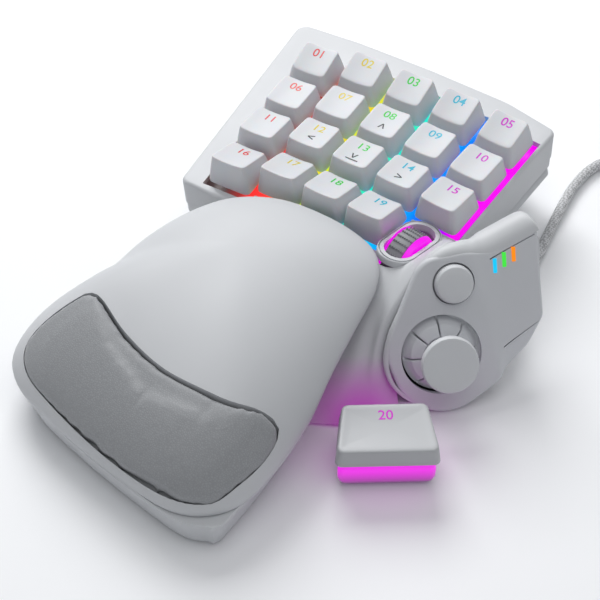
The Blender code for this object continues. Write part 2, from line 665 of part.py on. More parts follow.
def make_thumb_back(shop):
    """Hollow housing behind the face and the rounded bar along the top of the wing."""
    wall = 1.5
    cover = tub_solid([housing_ring(0.0, 0.0, 0.0), housing_ring(0.0, 0.4, 0.0),
                       housing_ring(0.2, 1.0, 0.0), housing_ring(0.9, 1.0, 0.0)],
                      [housing_ring(0.9, 1.0, wall), housing_ring(0.28, 1.0, wall),
                       housing_ring(0.09, 0.4, 0.0),
                       housing_ring(0.08, 0.0, 0.0)])
    housing = shop.piece("thumb_back_cover", cover, face_place(), shop.white)
    modifier_cut(housing, shop.cutter("pad_cup_room", round_mesh(PAD_HOLE + 1.2, -20.0, 6.0),
                                      face_place()))
    modifier_cut(housing, shop.cutter("button_room", round_mesh(BUTTON_RADIUS + 0.7, -4.9, 6.0),
                                      face_place(*BUTTON_AT)))

    along = Matrix.Rotation(math.radians(22.7), 4, "Z")
    radius, length = 6.6, 20.0
    section = [(0.3, 0.0)] + [(radius * math.sin(a), radius * math.cos(a) - radius)
                              for a in (math.pi * i / 8 for i in range(1, 8))] + [(0.3, -2 * radius)]
    bar = ring_solid([[(x, q * scale, n) for q, n in section]
                      for x, scale in ((0.0, 1.0), (length * 0.8, 1.0), (length, 0.75))])
    shop.piece("wing_bar", bar, face_place(16.6, 30.3) @ along, shop.white)


def make_thumb_key(shop):
    """Wide thumb key on its lit base."""
    turn = Matrix.Rotation(THUMB_KEY_TURN, 3, "Z")
    rear, front, depth = 25.6, 30.6, 17.6

    def ring(grow, z, cut=1.6, lift=0.0):
        x0, x1, y = rear / 2 + grow, front / 2 + grow, depth / 2 + grow
        points = [(x1 - cut, -y), (x1, -y + cut), (x0, y - cut), (x0 - cut, y),
                  (-x0 + cut, y), (-x0, y - cut), (-x1, -y + cut), (-x1 + cut, -y)]
        return [(x, v, z + lift * v) for x, v in points]

    top = THUMB_KEY_TOP
    cap = ring_solid([ring(-1.5, top - 0.2), ring(0.0, top), ring(1.6, top - 6.6), ring(0.5, top - 6.6),
                      ring(-1.2, top - 2.0)])
    shop.piece("keycap_20", cap, at(THUMB_KEY_AT, turn), shop.keycap)
    base_top = top - 2.0 - THUMB_KEY_TRAVEL - GAP
    base = ring_solid([ring(-2.0, base_top, 1.4), ring(-0.9, top - 7.4), ring(0.4, top - 11.0),
                       ring(0.4, FLOOR + 0.8), ring(-0.4, FLOOR)])
    shop.piece("thumb_key_base", base, at(THUMB_KEY_AT, turn), shop.glow)


def palm_curve(steps=2):
    """Palm rest outline as a smooth closed curve with its rim height."""
    points = [Vector(point) for point in PALM_OUTLINE]
    count = len(points)
    smooth = []
    for i in range(count):
        a, b, c, d = (points[(i + k) % count] for k in (-1, 0, 1, 2))
        for k in range(steps):
            t = k / steps
            smooth.append(0.5 * (2 * b + (c - a) * t + (2 * a - 5 * b + 4 * c - d) * t ** 2
                                 + (3 * b - a - 3 * c + d) * t ** 3))
    return smooth


def dome(share):
    """Height of the palm dome as a share of its rise, from 1 at the peak to 0 at the rim."""
    return max(0.0, 1.0 - share ** 2.3) ** 0.72


def palm_height(x, y):
    """Height of the palm surface over a point of the plan."""
    centre = PALM_PEAK.xy
    ray = Vector((x, y)) - centre
    if ray.length < 0.001:
        return PALM_PEAK.z
    curve = palm_curve(4)
    for i, here in enumerate(curve):
        there = curve[(i + 1) % len(curve)]
        a, b = here.xy - centre, there.xy - centre
        area = a.cross(b)
        u, v = ray.cross(b) / area, a.cross(ray) / area
        if u >= -1e-9 and v >= -1e-9:
            share = min(1.0, u + v)
            rim = (u * here.z + v * there.z) / (u + v)
            return rim + (PALM_PEAK.z - rim) * dome(share)
    return PALM_PEAK.z


def palm_ring(share, drop=0.0, z=None):
    """Ring of the palm surface at a share of the way from its peak to its rim."""
    ring = []
    for point in palm_curve():
        place = PALM_PEAK.xy.lerp(point.xy, share)
        height = point.z + (PALM_PEAK.z - point.z) * dome(share) - drop
        ring.append((place.x, place.y, height if z is None else z))
    return ring


def cushion_solid(grow, bottom, top):
    """Solid over the cushion outline whose faces follow the palm surface."""
    outline = grown(CUSHION_OUTLINE, grow)

    def ring(share, lift):
        points = [CUSHION_CENTRE.lerp(Vector(point), share) for point in outline]
        return [(p.x, p.y, palm_height(p.x, p.y) + lift) for p in points]

    return ring_solid([ring(0.15, bottom), ring(0.6, bottom), ring(1.0, bottom), ring(1.0, top),
                       ring(0.6, top), ring(0.15, top)])


def make_palm_rest(shop):
    """Domed shell with its cushion, the tray under it and the rails that it slides on."""
    shell_rings = [palm_ring(0.12), palm_ring(0.45), palm_ring(0.7), palm_ring(0.86), palm_ring(0.95),
                   palm_ring(0.99), palm_ring(1.0), palm_ring(1.0, PALM_LIP), palm_ring(0.955, PALM_LIP),
                   palm_ring(0.93, 7.2), palm_ring(0.8, 7.2), palm_ring(0.45, 7.2), palm_ring(0.12, 7.2)]
    shell = shop.piece("palm_shell", ring_solid(shell_rings), at((0.0, 0.0, 0.0)), shop.white)
    modifier_cut(shell, shop.cutter("cushion_bed", cushion_solid(2.0 * GAP, -CUSHION_DEPTH - BED_CLEARANCE, 12.0),
                                    at((0.0, 0.0, 0.0))))
    shop.piece("palm_cushion", cushion_solid(0.0, -CUSHION_DEPTH, 0.6), at((0.0, 0.0, 0.0)),
               shop.leather)

    base = [(19.5, -100.0), (23.3, -95.0), (22.4, -60.0), (10.0, -46.5), (-4.0, -30.0), (-8.0, -6.0),
            (-44.0, -6.0), (-54.0, -24.0), (-59.0, -46.0), (-65.0, -60.0), (-68.0, -72.0),
            (-64.5, -83.0), (-54.0, -91.0), (-31.0, -96.8), (-8.0, -100.6), (11.0, -102.6)]
    base_top = 12.5
    tray = shop.piece("palm_tray", outline_plate(base, FLOOR, base_top), at((0.0, 0.0, 0.0)),
                      shop.white)
    modifier_cut(tray, shop.cutter("palm_tray_cavity", outline_plate(
        grown(base, -2.4), FLOOR + 2.0, base_top + 3.0), at((0.0, 0.0, 0.0))))
    for side, x in (("left", -40.0), ("right", -16.0)):
        rail = box_mesh(7.0, 44.0, 3.8, 6.8)
        shop.piece(f"palm_rail_{side}", rail, at((x, -9.0, 0.0)), shop.steel)
        slot = box_mesh(7.0 + 2 * GAP, 20.0, 3.8 - GAP, 6.8 + GAP)
        modifier_cut(tray, shop.cutter(f"rail_slot_{side}", slot, at((x, -8.0, 0.0))))
    return tray


def make_feet_and_screws(shop, tray, floor, palm_tray):
    """Rubber feet, and screws in counterbores from below."""
    feet = (("foot_rear_left", 20.0, 7.0, (-46.0, 82.0)), ("foot_rear_right", 20.0, 7.0, (12.0, 82.0)),
            ("foot_waist", 9.0, 7.0, (30.0, -26.0)), ("foot_palm", 44.0, 7.0, (-22.0, -86.0)))
    for name, width, depth, (x, y) in feet:
        pad = outline_plate(chamfered(width, depth, 1.6), 0.0, FOOT_HEIGHT)
        shop.piece(name, pad, at((x, y, 0.0)), shop.rubber)
    screws = (("screw_rear", tray, (-17.0, 84.0)), ("screw_waist", floor, (36.0, -6.0)))
    for name, host, (x, y) in screws:
        shop.piece(name, round_mesh(2.4, FLOOR + 0.2, FLOOR + 1.2, segments=12), at((x, y, 0.0)),
                   shop.steel)
        modifier_cut(host, shop.cutter(f"{name}_bore", round_mesh(2.4 + GAP, -1.0, FLOOR + 1.2 + GAP,
                                                                  segments=12), at((x, y, 0.0))))


def smooth_route(points, spacing):
    """Even points along a smooth curve through a route's own points."""
    route = [shifted(point) for point in points]
    dense = []
    for i in range(len(route) - 1):
        a, b = route[max(i - 1, 0)], route[i]
        c, d = route[i + 1], route[min(i + 2, len(route) - 1)]
        for k in range(20):
            t = k / 20
            dense.append(0.5 * (2 * b + (c - a) * t + (2 * a - 5 * b + 4 * c - d) * t ** 2
                                + (3 * b - a - 3 * c + d) * t ** 3))
    dense.append(route[-1])
    total = sum((b - a).length for a, b in zip(dense, dense[1:]))
    steps = round(total / spacing)
    even, travelled, target = [dense[0]], 0.0, total / steps
    for a, b in zip(dense, dense[1:]):
        span = (b - a).length
        while travelled + span >= target * len(even) and len(even) < steps:
            even.append(a.lerp(b, (target * len(even) - travelled) / span))
        travelled += span
    even.append(dense[-1])
    return even


def make_cable(shop):
    """Strain relief, braided cable, stored coil and plug."""
    path = smooth_route(CABLE_ROUTE, 2.5 * CABLE_DIAMETER)
    curve = bpy.data.curves.new("cable", "CURVE")
    curve.dimensions = "3D"
    curve.bevel_depth = CABLE_DIAMETER / 2 * MM
    curve.bevel_resolution = 2
    curve.use_fill_caps = True
    spline = curve.splines.new("POLY")
    spline.points.add(len(path) - 1)
    for point, place in zip(spline.points, path):
        point.co = (*(place * MM), 1.0)
    curve.materials.append(shop.braid)
    shop.parts.objects.link(bpy.data.objects.new("cable", curve))

    start, nearby = path[0], path[1]
    direction = (nearby - start).normalized()
    turn = direction.to_track_quat("Z", "Y").to_matrix().to_4x4()
    length, root = 17.0, 3.6
    relief = round_mesh(root, -length, -GAP, 2.6, 16)
    exit_place = Matrix.Translation(start) @ turn
    shop.piece("strain_relief", relief, exit_place, shop.grey)
    modifier_cut(shop.parts.objects["thumb_back_cover"],
                 shop.cutter("relief_hole", round_mesh(root + GAP, -length - 2, 2.0), exit_place))

    low, high = COIL_RADII
    top, bevel = COIL_HEIGHT, 1.2
    section = [(high - bevel, 0.0), (high, bevel), (high, top - bevel), (high - bevel, top),
               (low + bevel, top), (low, top - bevel), (low, bevel), (low + bevel, 0.0)]
    shop.piece("cable_coil", turned_solid(section, 32), at((*COIL_CENTRE, 0.2)), shop.braid)
    make_plug(shop)


PLUG_AT = Vector((52.0, 184.9, 4.2))
PLUG_TURN = math.radians(180.0)


def make_plug(shop):
    """USB plug: moulded grip and metal shell."""
    place = at(PLUG_AT, Matrix.Rotation(PLUG_TURN, 3, "Z"))
    side = Matrix.Rotation(math.radians(90), 4, "Y")
    grip = ring_solid([[(x, y, z) for x, y in chamfered(h, w, c)]
                       for h, w, c, z in ((3.6, 4.4, 0.8, -13.0), (6.6, 9.0, 1.6, -9.0),
                                          (8.0, 14.0, 1.8, -4.0), (8.0, 14.0, 1.8, 12.0))])
    shop.piece("usb_plug_grip", grip, place @ side, shop.grey)
    shell = box_mesh(4.5, 12.0, 12.0 + GAP, 24.0)
    plug = shop.piece("usb_plug_shell", shell, place @ side, shop.steel)
    modifier_cut(plug, shop.cutter("plug_mouth", box_mesh(3.7, 11.2, 14.0, 26.0), place @ side))


def main():
    for obj in list(bpy.data.objects):
        bpy.data.objects.remove(obj)
    shop = Workshop()
    tray = make_deck(shop)
    make_key_works(shop)
    make_keys(shop)
    floor = make_waist(shop)
    make_wheel(shop)
    make_thumb_module(shop)
    make_thumb_key(shop)
    palm_tray = make_palm_rest(shop)
    make_feet_and_screws(shop, tray, floor, palm_tray)
    make_cable(shop)


main()
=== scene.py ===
"""One-hand keypad for the left hand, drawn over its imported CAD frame."""

import math
from contextlib import contextmanager

import bpy
from bpy.props import FloatProperty, FloatVectorProperty, IntProperty, PointerProperty
from mathutils import Matrix, Vector


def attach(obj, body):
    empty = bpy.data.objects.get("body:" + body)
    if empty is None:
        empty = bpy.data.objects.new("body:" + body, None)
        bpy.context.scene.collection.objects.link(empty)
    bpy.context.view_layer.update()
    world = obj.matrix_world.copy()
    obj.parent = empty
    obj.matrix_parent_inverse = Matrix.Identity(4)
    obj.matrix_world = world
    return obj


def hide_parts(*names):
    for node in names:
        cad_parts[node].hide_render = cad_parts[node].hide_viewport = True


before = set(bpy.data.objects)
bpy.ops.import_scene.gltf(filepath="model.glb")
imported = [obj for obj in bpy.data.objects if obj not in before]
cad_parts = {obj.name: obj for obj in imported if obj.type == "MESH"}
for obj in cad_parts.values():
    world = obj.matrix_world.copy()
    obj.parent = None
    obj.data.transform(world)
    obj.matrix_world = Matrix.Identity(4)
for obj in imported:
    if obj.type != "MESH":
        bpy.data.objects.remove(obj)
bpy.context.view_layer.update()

bl_info = {
    "name": "One-hand keypad",
    "version": (1, 0, 0),
    "blender": (4, 5, 0),
    "location": "3D View > Sidebar > Keypad",
    "description": "Builds a left-hand keypad with lit keys, a wheel, a thumb module and a palm rest",
    "category": "Object",
}

# Lengths are millimetres. A piece is made at that size and becomes metres when it is put in place.
MM = 0.001
SHIFT = Vector((0.48, 0.1, 0.0))
DECK_CENTRE = Vector((-13.0, 51.5, 33.0))
DECK_SLOPE = math.radians(5.4)
GUIDE_LEFT, GUIDE_RIGHT = -70, 40
COLUMN_PITCH = 19.05
ROW_PITCH = 18.6
COLUMN_NUDGE = (0.9, 0.2, 0.0, -0.4, -0.5)
COLUMN_SETBACK = (-4.0, 0.4, 0.4, 0.0, -1.4)
COLUMN_TURN = tuple(math.radians(t) for t in (2.6, 2.0, 0.4, -1.0, -3.4))
ROW_HEIGHT = (10.8, 9.2, 10.0, 10.3)
ROW_TILT = tuple(math.radians(t) for t in (12.0, -3.3, -10.0, -22.0))
ROW_TOP_DEPTH = (12.9, 15.2, 14.9, 14.9)
ROW_TOP_SHIFT = (-0.6, 0.2, 0.1, 0.1)
KEY_TOP_HALF = 6.9
KEY_SKIRT_HALF = 8.6
KEY_SKIRT_LOW = 0.8
LEGEND_LIFT = 0.03
WHEEL_CENTRE = Vector((21.8, 18.4, 34.6))
WHEEL_TURN = math.radians(-8.0)
WHEEL_TILT = math.radians(-9.0)
WHEEL_DROP = 7.0
FACE_ORIGIN = Vector((49.5, -6.6, 18.6))
FACE_YAW = math.radians(42.0)
FACE_RISE = math.radians(33.0)
BUTTON_AT = (5.5, 23.6)
THUMB_KEY_AT = Vector((50.0, -43.2, 0.0))
THUMB_KEY_TURN = math.radians(34.5)
THUMB_KEY_TOP = 19.5
PALM_PEAK = Vector((-18.0, -22.0, 47.0))
PALM_LIP = 2.6
PALM_SHELL_DEPTH = 7.2
BED_DEPTH = 5.2
PAD_DEPTH = 4.0
PAD_SWELL = 0.9
PALM_OUTLINE = (
    (20.0, -98.0, 15.5), (26.0, -89.0, 15.5), (28.5, -75.0, 17.0), (28.8, -57.0, 20.5),
    (26.5, -38.0, 27.0), (25.2, -22.0, 32.0), (23.2, -6.0, 35.2), (17.5, 4.5, 36.4),
    (7.5, 10.0, 36.6), (-8.0, 12.5, 36.2), (-26.0, 11.5, 35.2), (-42.0, 4.0, 33.0),
    (-53.0, -9.0, 29.5), (-60.0, -26.0, 26.0), (-64.0, -44.0, 21.5), (-70.5, -58.0, 17.5),
    (-74.0, -72.0, 15.5), (-69.5, -85.0, 15.5), (-56.0, -93.5, 15.5), (-32.0, -99.0, 15.5),
    (-5.0, -103.0, 15.5), (10.0, -103.0, 15.5))
CUSHION_OUTLINE = (
    (24, -87), (26, -76), (25, -67), (20, -67), (8, -73), (-12, -74), (-32, -69), (-50, -61),
    (-57, -65), (-65, -79), (-60, -88), (-45, -94), (-18, -100), (6, -102), (19, -97))
CUSHION_CENTRE = Vector((-12.0, -88.0))
PALM_BASE = (
    (19.5, -100.0), (23.3, -95.0), (22.4, -60.0), (10.0, -46.5), (-4.0, -30.0), (-8.0, -6.0),
    (-44.0, -6.0), (-54.0, -24.0), (-59.0, -46.0), (-65.0, -60.0), (-68.0, -72.0),
    (-64.5, -83.0), (-54.0, -91.0), (-31.0, -96.8), (-8.0, -100.6), (11.0, -102.6))
WAIST_ROWS = (
    ((15.6, 28.8, 32.6), (21.5, 28.8, 32.8), (28.0, 28.8, 32.8), (33.2, 28.8, 33.0), (36.0, 29.5, 30.0)),
    ((14.0, 20.0, 33.8), (21.5, 20.0, 34.4), (28.5, 19.0, 35.2), (35.4, 17.6, 42.6), (38.5, 18.0, 39.0)),
    ((14.0, 9.0, 33.0), (20.5, 8.0, 35.2), (28.0, 8.0, 37.2), (34.2, 8.2, 43.2), (38.0, 9.0, 38.5)),
    ((9.0, -3.0, 28.0), (19.8, -5.0, 29.6), (27.0, -3.0, 31.8), (31.8, -3.0, 34.6), (35.5, 0.0, 31.0)),
    ((5.0, -14.0, 22.6), (22.0, -15.0, 24.0), (27.0, -13.0, 24.2), (30.6, -12.6, 25.6), (34.5, -9.0, 20.5)),
    ((7.0, -25.0, 16.0), (25.0, -25.0, 16.4), (29.6, -22.0, 15.6), (32.6, -20.6, 16.6), (37.0, -16.5, 12.0)),
    ((13.0, -35.0, 8.0), (26.0, -33.6, 8.4), (31.6, -29.0, 8.0), (36.6, -24.6, 8.4), (41.0, -20.0, 6.0)),
    ((20.5, -43.5, 1.5), (28.0, -39.5, 1.5), (35.5, -35.0, 1.5), (43.0, -30.5, 1.5), (46.5, -27.0, 1.5)))
CABLE_ROUTE = (
    (55.0, 33.0, 13.0), (53.9, 41.0, 9.0), (52.5, 51.0, 5.0), (51.0, 61.0, 2.9), (49.8, 71.0, 2.2),
    (48.4, 80.0, 2.2), (47.0, 90.0, 2.2), (45.8, 100.0, 2.2), (45.2, 110.0, 2.2),
    (46.2, 120.0, 2.2), (49.8, 128.4, 2.2), (57.0, 132.8, 2.2), (66.0, 133.4, 2.2),
    (76.0, 132.2, 2.2), (87.0, 131.3, 2.2))
CABLE_TAIL = ((93.0, 184.9, 14.0), (87.0, 184.9, 12.2), (80.0, 184.9, 8.4), (73.0, 184.9, 5.0),
              (68.0, 184.9, 4.2), (62.0, 184.9, 4.2))
COIL_CENTRE = Vector((98.0, 158.0))
COIL_OUTER_TURN = 26.9
COIL_INNER_TURN = 14.1
COIL_LAYERS = 4
COIL_TURNS = 12.5
CABLE_DIAMETER = 4.0
PLUG_AT = Vector((52.0, 184.9, 4.2))


class KeypadSizes(bpy.types.PropertyGroup):
    """Sizes that a maker would change."""

    key_corner: FloatProperty(name="Key corner", description="Roundness of a key's upright corners",
                              default=11.0, min=3.0, max=20.0)
    key_dish: FloatProperty(name="Key dish", description="Depth of the hollow across a key's top",
                            default=0.7 * MM, min=0.0, max=0.0015, unit="LENGTH")
    key_edge: FloatProperty(name="Key edge", description="Radius of a key's top edge",
                            default=0.55 * MM, min=0.0001, max=0.002, unit="LENGTH")
    tyre_rows: IntProperty(name="Tyre rows", description="Rows of pips round the wheel's tyre",
                           default=26, min=8, max=60)
    lens: FloatProperty(name="Lens", description="Focal length of the camera on a 36 mm sensor",
                        default=85.7, min=20.0, max=300.0)


class KeypadColours(bpy.types.PropertyGroup):
    """Colours of the lights."""

    red: FloatVectorProperty(name="Red", description="Light of the first column", subtype="COLOR",
                             default=(0.95, 0.03, 0.03), min=0.0, max=1.0)
    yellow: FloatVectorProperty(name="Yellow", description="Light of the second column",
                                subtype="COLOR", default=(0.95, 0.75, 0.02), min=0.0, max=1.0)
    green: FloatVectorProperty(name="Green", description="Light of the third column",
                               subtype="COLOR", default=(0.03, 0.8, 0.05), min=0.0, max=1.0)
    cyan: FloatVectorProperty(name="Cyan", description="Light of the fourth column",
                              subtype="COLOR", default=(0.0, 0.6, 0.85), min=0.0, max=1.0)
    magenta: FloatVectorProperty(name="Magenta", description="Light of the fifth column and the wheel",
                                 subtype="COLOR", default=(0.85, 0.0, 0.8), min=0.0, max=1.0)


def sizes():
    return bpy.context.scene.keypad_sizes


def colours():
    return bpy.context.scene.keypad_colours


# ---------------------------------------------------------------- modelling helpers


def pick(obj):
    """Select one object alone."""
    bpy.ops.object.select_all(action="DESELECT")
    obj.select_set(True)
    bpy.context.view_layer.objects.active = obj


@contextmanager
def editing(obj):
    """Edit mode on one object, with all of it selected."""
    pick(obj)
    bpy.ops.object.mode_set(mode="EDIT")
    bpy.ops.mesh.select_all(action="SELECT")
    yield
    bpy.ops.object.mode_set(mode="OBJECT")


def start(kind, name, **settings):
    """Add a mesh primitive and name it."""
    bpy.ops.object.select_all(action="DESELECT")
    getattr(bpy.ops.mesh, f"primitive_{kind}_add")(**settings)
    obj = bpy.context.object
    obj.name = obj.data.name = name
    return obj


def shape(obj, mould):
    """Move every vertex to where a function puts it."""
    for vertex in obj.data.vertices:
        vertex.co = mould(vertex.co.copy())


def apply_modifier(obj, kind, **settings):
    """Add a modifier with its settings and apply it."""
    pick(obj)
    modifier = obj.modifiers.new(kind.lower(), kind)
    for key, value in settings.items():
        setattr(modifier, key, value)
    bpy.ops.object.modifier_apply(modifier=modifier.name)


def cut(obj, *cutters):
    """Cut a piece with other solids and remove them."""
    for cutter in cutters:
        apply_modifier(obj, "BOOLEAN", operation="DIFFERENCE", object=cutter, solver="EXACT")
        bpy.data.objects.remove(cutter)


def copy_of(obj, name, place=None):
    """Copy a piece with a mesh of its own."""
    twin = obj.copy()
    twin.data = obj.data.copy()
    twin.name = twin.data.name = name
    bpy.context.collection.objects.link(twin)
    if place is not None:
        twin.data.transform(place)
    return twin


def joined(objs, name):
    """Join several objects into the first."""
    bpy.ops.object.select_all(action="DESELECT")
    for obj in objs:
        obj.select_set(True)
    bpy.context.view_layer.objects.active = objs[0]
    bpy.ops.object.join()
    objs[0].name = objs[0].data.name = name
    return objs[0]


def choose_faces(obj, test):
    """Enter edit mode with the faces selected whose centre and normal pass a test."""
    pick(obj)
    bpy.ops.object.mode_set(mode="EDIT")
    bpy.ops.mesh.select_mode(type="FACE")
    bpy.ops.mesh.select_all(action="DESELECT")
    bpy.ops.object.mode_set(mode="OBJECT")
    for face in obj.data.polygons:
        face.select = test(face.center, face.normal)
    bpy.ops.object.mode_set(mode="EDIT")


def tidy_normals(obj):
    """Merge doubles and point every face outwards."""
    with editing(obj):
        bpy.ops.mesh.remove_doubles(threshold=0.0005)
        bpy.ops.mesh.normals_make_consistent(inside=False)


def smooth(obj, angle=35.0):
    """Shade a piece smooth below an angle."""
    pick(obj)
    bpy.ops.object.shade_smooth_by_angle(angle=math.radians(angle))


def settle(obj, place, material, body, replaces=(), angle=35.0):
    """Turn a finished piece into metres at its place, and give it its finish and body."""
    smooth(obj, angle)
    obj.data.transform(Matrix.Scale(MM, 4) @ place @ obj.matrix_world)
    obj.matrix_world = Matrix.Identity(4)
    obj.data.materials.clear()
    obj.data.materials.append(material)
    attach(obj, body)
    if replaces:
        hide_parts(*replaces)
    return obj


def arc(centre, radius, begin, end, steps):
    """Points along an arc, angles in degrees."""
    angles = [math.radians(begin + (end - begin) * i / steps) for i in range(steps + 1)]
    return [Vector((centre[0] + radius * math.cos(a), centre[1] + radius * math.sin(a)))
            for a in angles]


def stadium(width, length, steps=24):
    """Outline with straight sides and round ends, long along Y."""
    radius, reach = width / 2, (length - width) / 2
    return arc((0, reach), radius, 0, 180, steps) + arc((0, -reach), radius, 180, 360, steps)


def catmull(a, b, c, d, t):
    """Point on a smooth curve between b and c."""
    return 0.5 * (2 * b + (c - a) * t + (2 * a - 5 * b + 4 * c - d) * t * t
                  + (3 * b - a - 3 * c + d) * t * t * t)


def curved(points, steps):
    """Points along a smooth open curve through the given points, up to the last one."""
    last = len(points) - 1
    line = [catmull(points[max(i - 1, 0)], points[i], points[i + 1], points[min(i + 2, last)], k / steps)
            for i in range(last) for k in range(steps)]
    return line + [points[-1]]


def even_ring(points, count):
    """Points at even spacing along a smooth closed curve through the given points."""
    points = [Vector(p) for p in points]
    n = len(points)
    dense = [catmull(points[i - 1], points[i], points[(i + 1) % n], points[(i + 2) % n], k / 12)
             for i in range(n) for k in range(12)]
    return resampled(dense + dense[:1], count + 1)[:-1]


def resampled(line, count):
    """Points at even spacing along a line of points, its ends kept."""
    lengths = [0.0]
    for a, b in zip(line, line[1:]):
        lengths.append(lengths[-1] + (b - a).length)
    result, k = [], 0
    for i in range(count):
        target = lengths[-1] * i / (count - 1)
        while k < len(line) - 2 and lengths[k + 1] < target:
            k += 1
        span = lengths[k + 1] - lengths[k]
        result.append(line[k].lerp(line[k + 1], (target - lengths[k]) / span if span else 0.0))
    return result


def rounded(corners, steps=6):
    """Outline from (x, y, radius) corners, counterclockwise, with each corner rounded."""
    outline = []
    count = len(corners)
    for i, (x, y, radius) in enumerate(corners):
        here = Vector((x, y))
        before = (Vector(corners[i - 1][:2]) - here).normalized()
        after = (Vector(corners[(i + 1) % count][:2]) - here).normalized()
        half = before.angle(after) / 2
        reach = radius / math.tan(half)
        centre = here + (before + after).normalized() * (radius / math.sin(half))
        first, last = here + before * reach - centre, here + after * reach - centre
        turn = first.angle_signed(last)
        for k in range(steps + 1):
            spin = Matrix.Rotation(-turn * k / steps, 2)
            outline.append(centre + spin @ first)
    return outline


def drawn_in(ring, amount):
    """Offset a counterclockwise ring inwards, or outwards when the amount is negative."""
    result = []
    for i, here in enumerate(ring):
        side = (ring[(i + 1) % len(ring)].xy - ring[i - 1].xy).normalized()
        result.append(here.xy + Vector((-side.y, side.x)) * amount)
    return result


def slab(name, outline, low, high, top_edge=0.0, bottom_edge=0.0):
    """Upright plate from a flat outline: a filled circle shaped to it, extruded and bevelled."""
    obj = start("circle", name, vertices=len(outline), fill_type="NGON")
    for vertex, point in zip(obj.data.vertices, outline):
        vertex.co = (point[0], point[1], low)
    with editing(obj):
        bpy.ops.mesh.extrude_region_move(TRANSFORM_OT_translate={"value": (0, 0, high - low)})
        bpy.ops.mesh.select_all(action="SELECT")
        bpy.ops.mesh.normals_make_consistent(inside=False)
    for height, width in ((high, top_edge), (low, bottom_edge)):
        if width:
            choose_faces(obj, lambda c, n: abs(c.z - height) < 1e-4 and abs(n.z) > 0.9)
            bpy.ops.mesh.bevel(offset=width, segments=4, affect="EDGES", clamp_overlap=True)
            bpy.ops.object.mode_set(mode="OBJECT")
    return obj


def loft(name, rings):
    """Closed body through a stack of rings, from the top down: a globe with its rows moved to them."""
    count, rows = len(rings[0]), len(rings) + 1
    obj = start("uv_sphere", name, segments=count, ring_count=rows)
    poles = [sum((Vector(p) for p in ring), Vector()) / count for ring in (rings[0], rings[-1])]

    def mould(co):
        row = round(math.acos(max(-1.0, min(1.0, co.z))) / math.pi * rows)
        if row in (0, rows):
            return Vector(poles[row // rows])
        column = round(math.atan2(co.y, co.x) / math.tau * count) % count
        return Vector(rings[row - 1][column])

    shape(obj, mould)
    tidy_normals(obj)
    return obj


def turned(name, profile, steps):
    """Body turned about Z from a closed line of (radius, height) points."""
    obj = start("circle", name, vertices=len(profile), fill_type="NOTHING")
    for vertex, (radius, height) in zip(obj.data.vertices, profile):
        vertex.co = (radius, 0, height)
    with editing(obj):
        bpy.ops.mesh.spin(steps=steps, angle=math.tau, center=(0, 0, 0), axis=(0, 0, 1))
    tidy_normals(obj)
    return obj


def edge_profile(radius, steps):
    """Inset and drop of a rounded edge, from the flat to the side."""
    return [(radius * (1 - math.sin(a)), radius * (1 - math.cos(a)))
            for a in (math.pi / 2 * k / steps for k in range(steps + 1))]


# ---------------------------------------------------------------- places


def at(vector, rotation=None):
    """Matrix of a place in the object's frame."""
    matrix = Matrix.Translation(Vector(vector) + SHIFT)
    return matrix @ rotation.to_4x4() if rotation is not None else matrix


def deck_place(x=0.0, u=0.0, w=0.0, turn=0.0):
    """Matrix of a place on the deck plane."""
    slope = Matrix.Rotation(DECK_SLOPE, 4, "X")
    return at(DECK_CENTRE) @ slope @ Matrix.Translation((x, u, w)) @ Matrix.Rotation(turn, 4, "Z")


def face_place(p=0.0, q=0.0):
    """Matrix of a place on the thumb face."""
    across = Vector((math.cos(FACE_YAW), math.sin(FACE_YAW), 0.0))
    out = Vector((math.sin(FACE_YAW) * math.cos(FACE_RISE),
                  -math.cos(FACE_YAW) * math.cos(FACE_RISE), math.sin(FACE_RISE)))
    rotation = Matrix((across, out.cross(across), out)).transposed()
    return at(FACE_ORIGIN, rotation) @ Matrix.Translation((p, q, 0.0))


def wheel_place(n=0.0):
    """Matrix of the wheel: x along the axle, y along the slot."""
    rotation = Matrix.Rotation(WHEEL_TURN, 3, "Z") @ Matrix.Rotation(WHEEL_TILT, 3, "X")
    return at(WHEEL_CENTRE, rotation) @ Matrix.Translation((0.0, 0.0, n))


def key_column(column):
    x = (column - 2) * COLUMN_PITCH + COLUMN_NUDGE[column]
    return x, COLUMN_SETBACK[column], COLUMN_TURN[column]


def key_place(row, column):
    """Matrix of a key on the deck."""
    x, setback, turn = key_column(column)
    v = (1.5 - row) * ROW_PITCH
    return deck_place(x - v * math.sin(turn), setback + v * math.cos(turn), 0.0, turn)


# ---------------------------------------------------------------- materials


def linear(hex_colour):
    """An sRGB hex colour as linear RGBA."""
    channels = [int(hex_colour[i:i + 2], 16) / 255 for i in (0, 2, 4)]
    return (*(c / 12.92 if c <= 0.04045 else ((c + 0.055) / 1.055) ** 2.4 for c in channels), 1.0)


def node(tree, kind, links=(), **settings):
    """Add a node with its socket values and links."""
    made = tree.nodes.new(kind)
    for key, value in settings.items():
        if hasattr(made, key):
            setattr(made, key, value)
        else:
            made.inputs[key.replace("_", " ")].default_value = value
    for source, socket in links:
        tree.links.new(source, made.inputs[socket])
    return made


def object_space(tree):
    """Object coordinates, which every pattern is laid out in."""
    return node(tree, "ShaderNodeTexCoord").outputs["Object"]


def blank(name, colour, roughness, **shader):
    """A Principled material and its tree."""
    material = bpy.data.materials.new(name)
    material.use_nodes = True
    tree = material.node_tree
    principled = tree.nodes["Principled BSDF"]
    principled.inputs["Base Color"].default_value = colour
    principled.inputs["Roughness"].default_value = roughness
    for key, value in shader.items():
        principled.inputs[key.replace("_", " ")].default_value = value
    return material, tree, principled


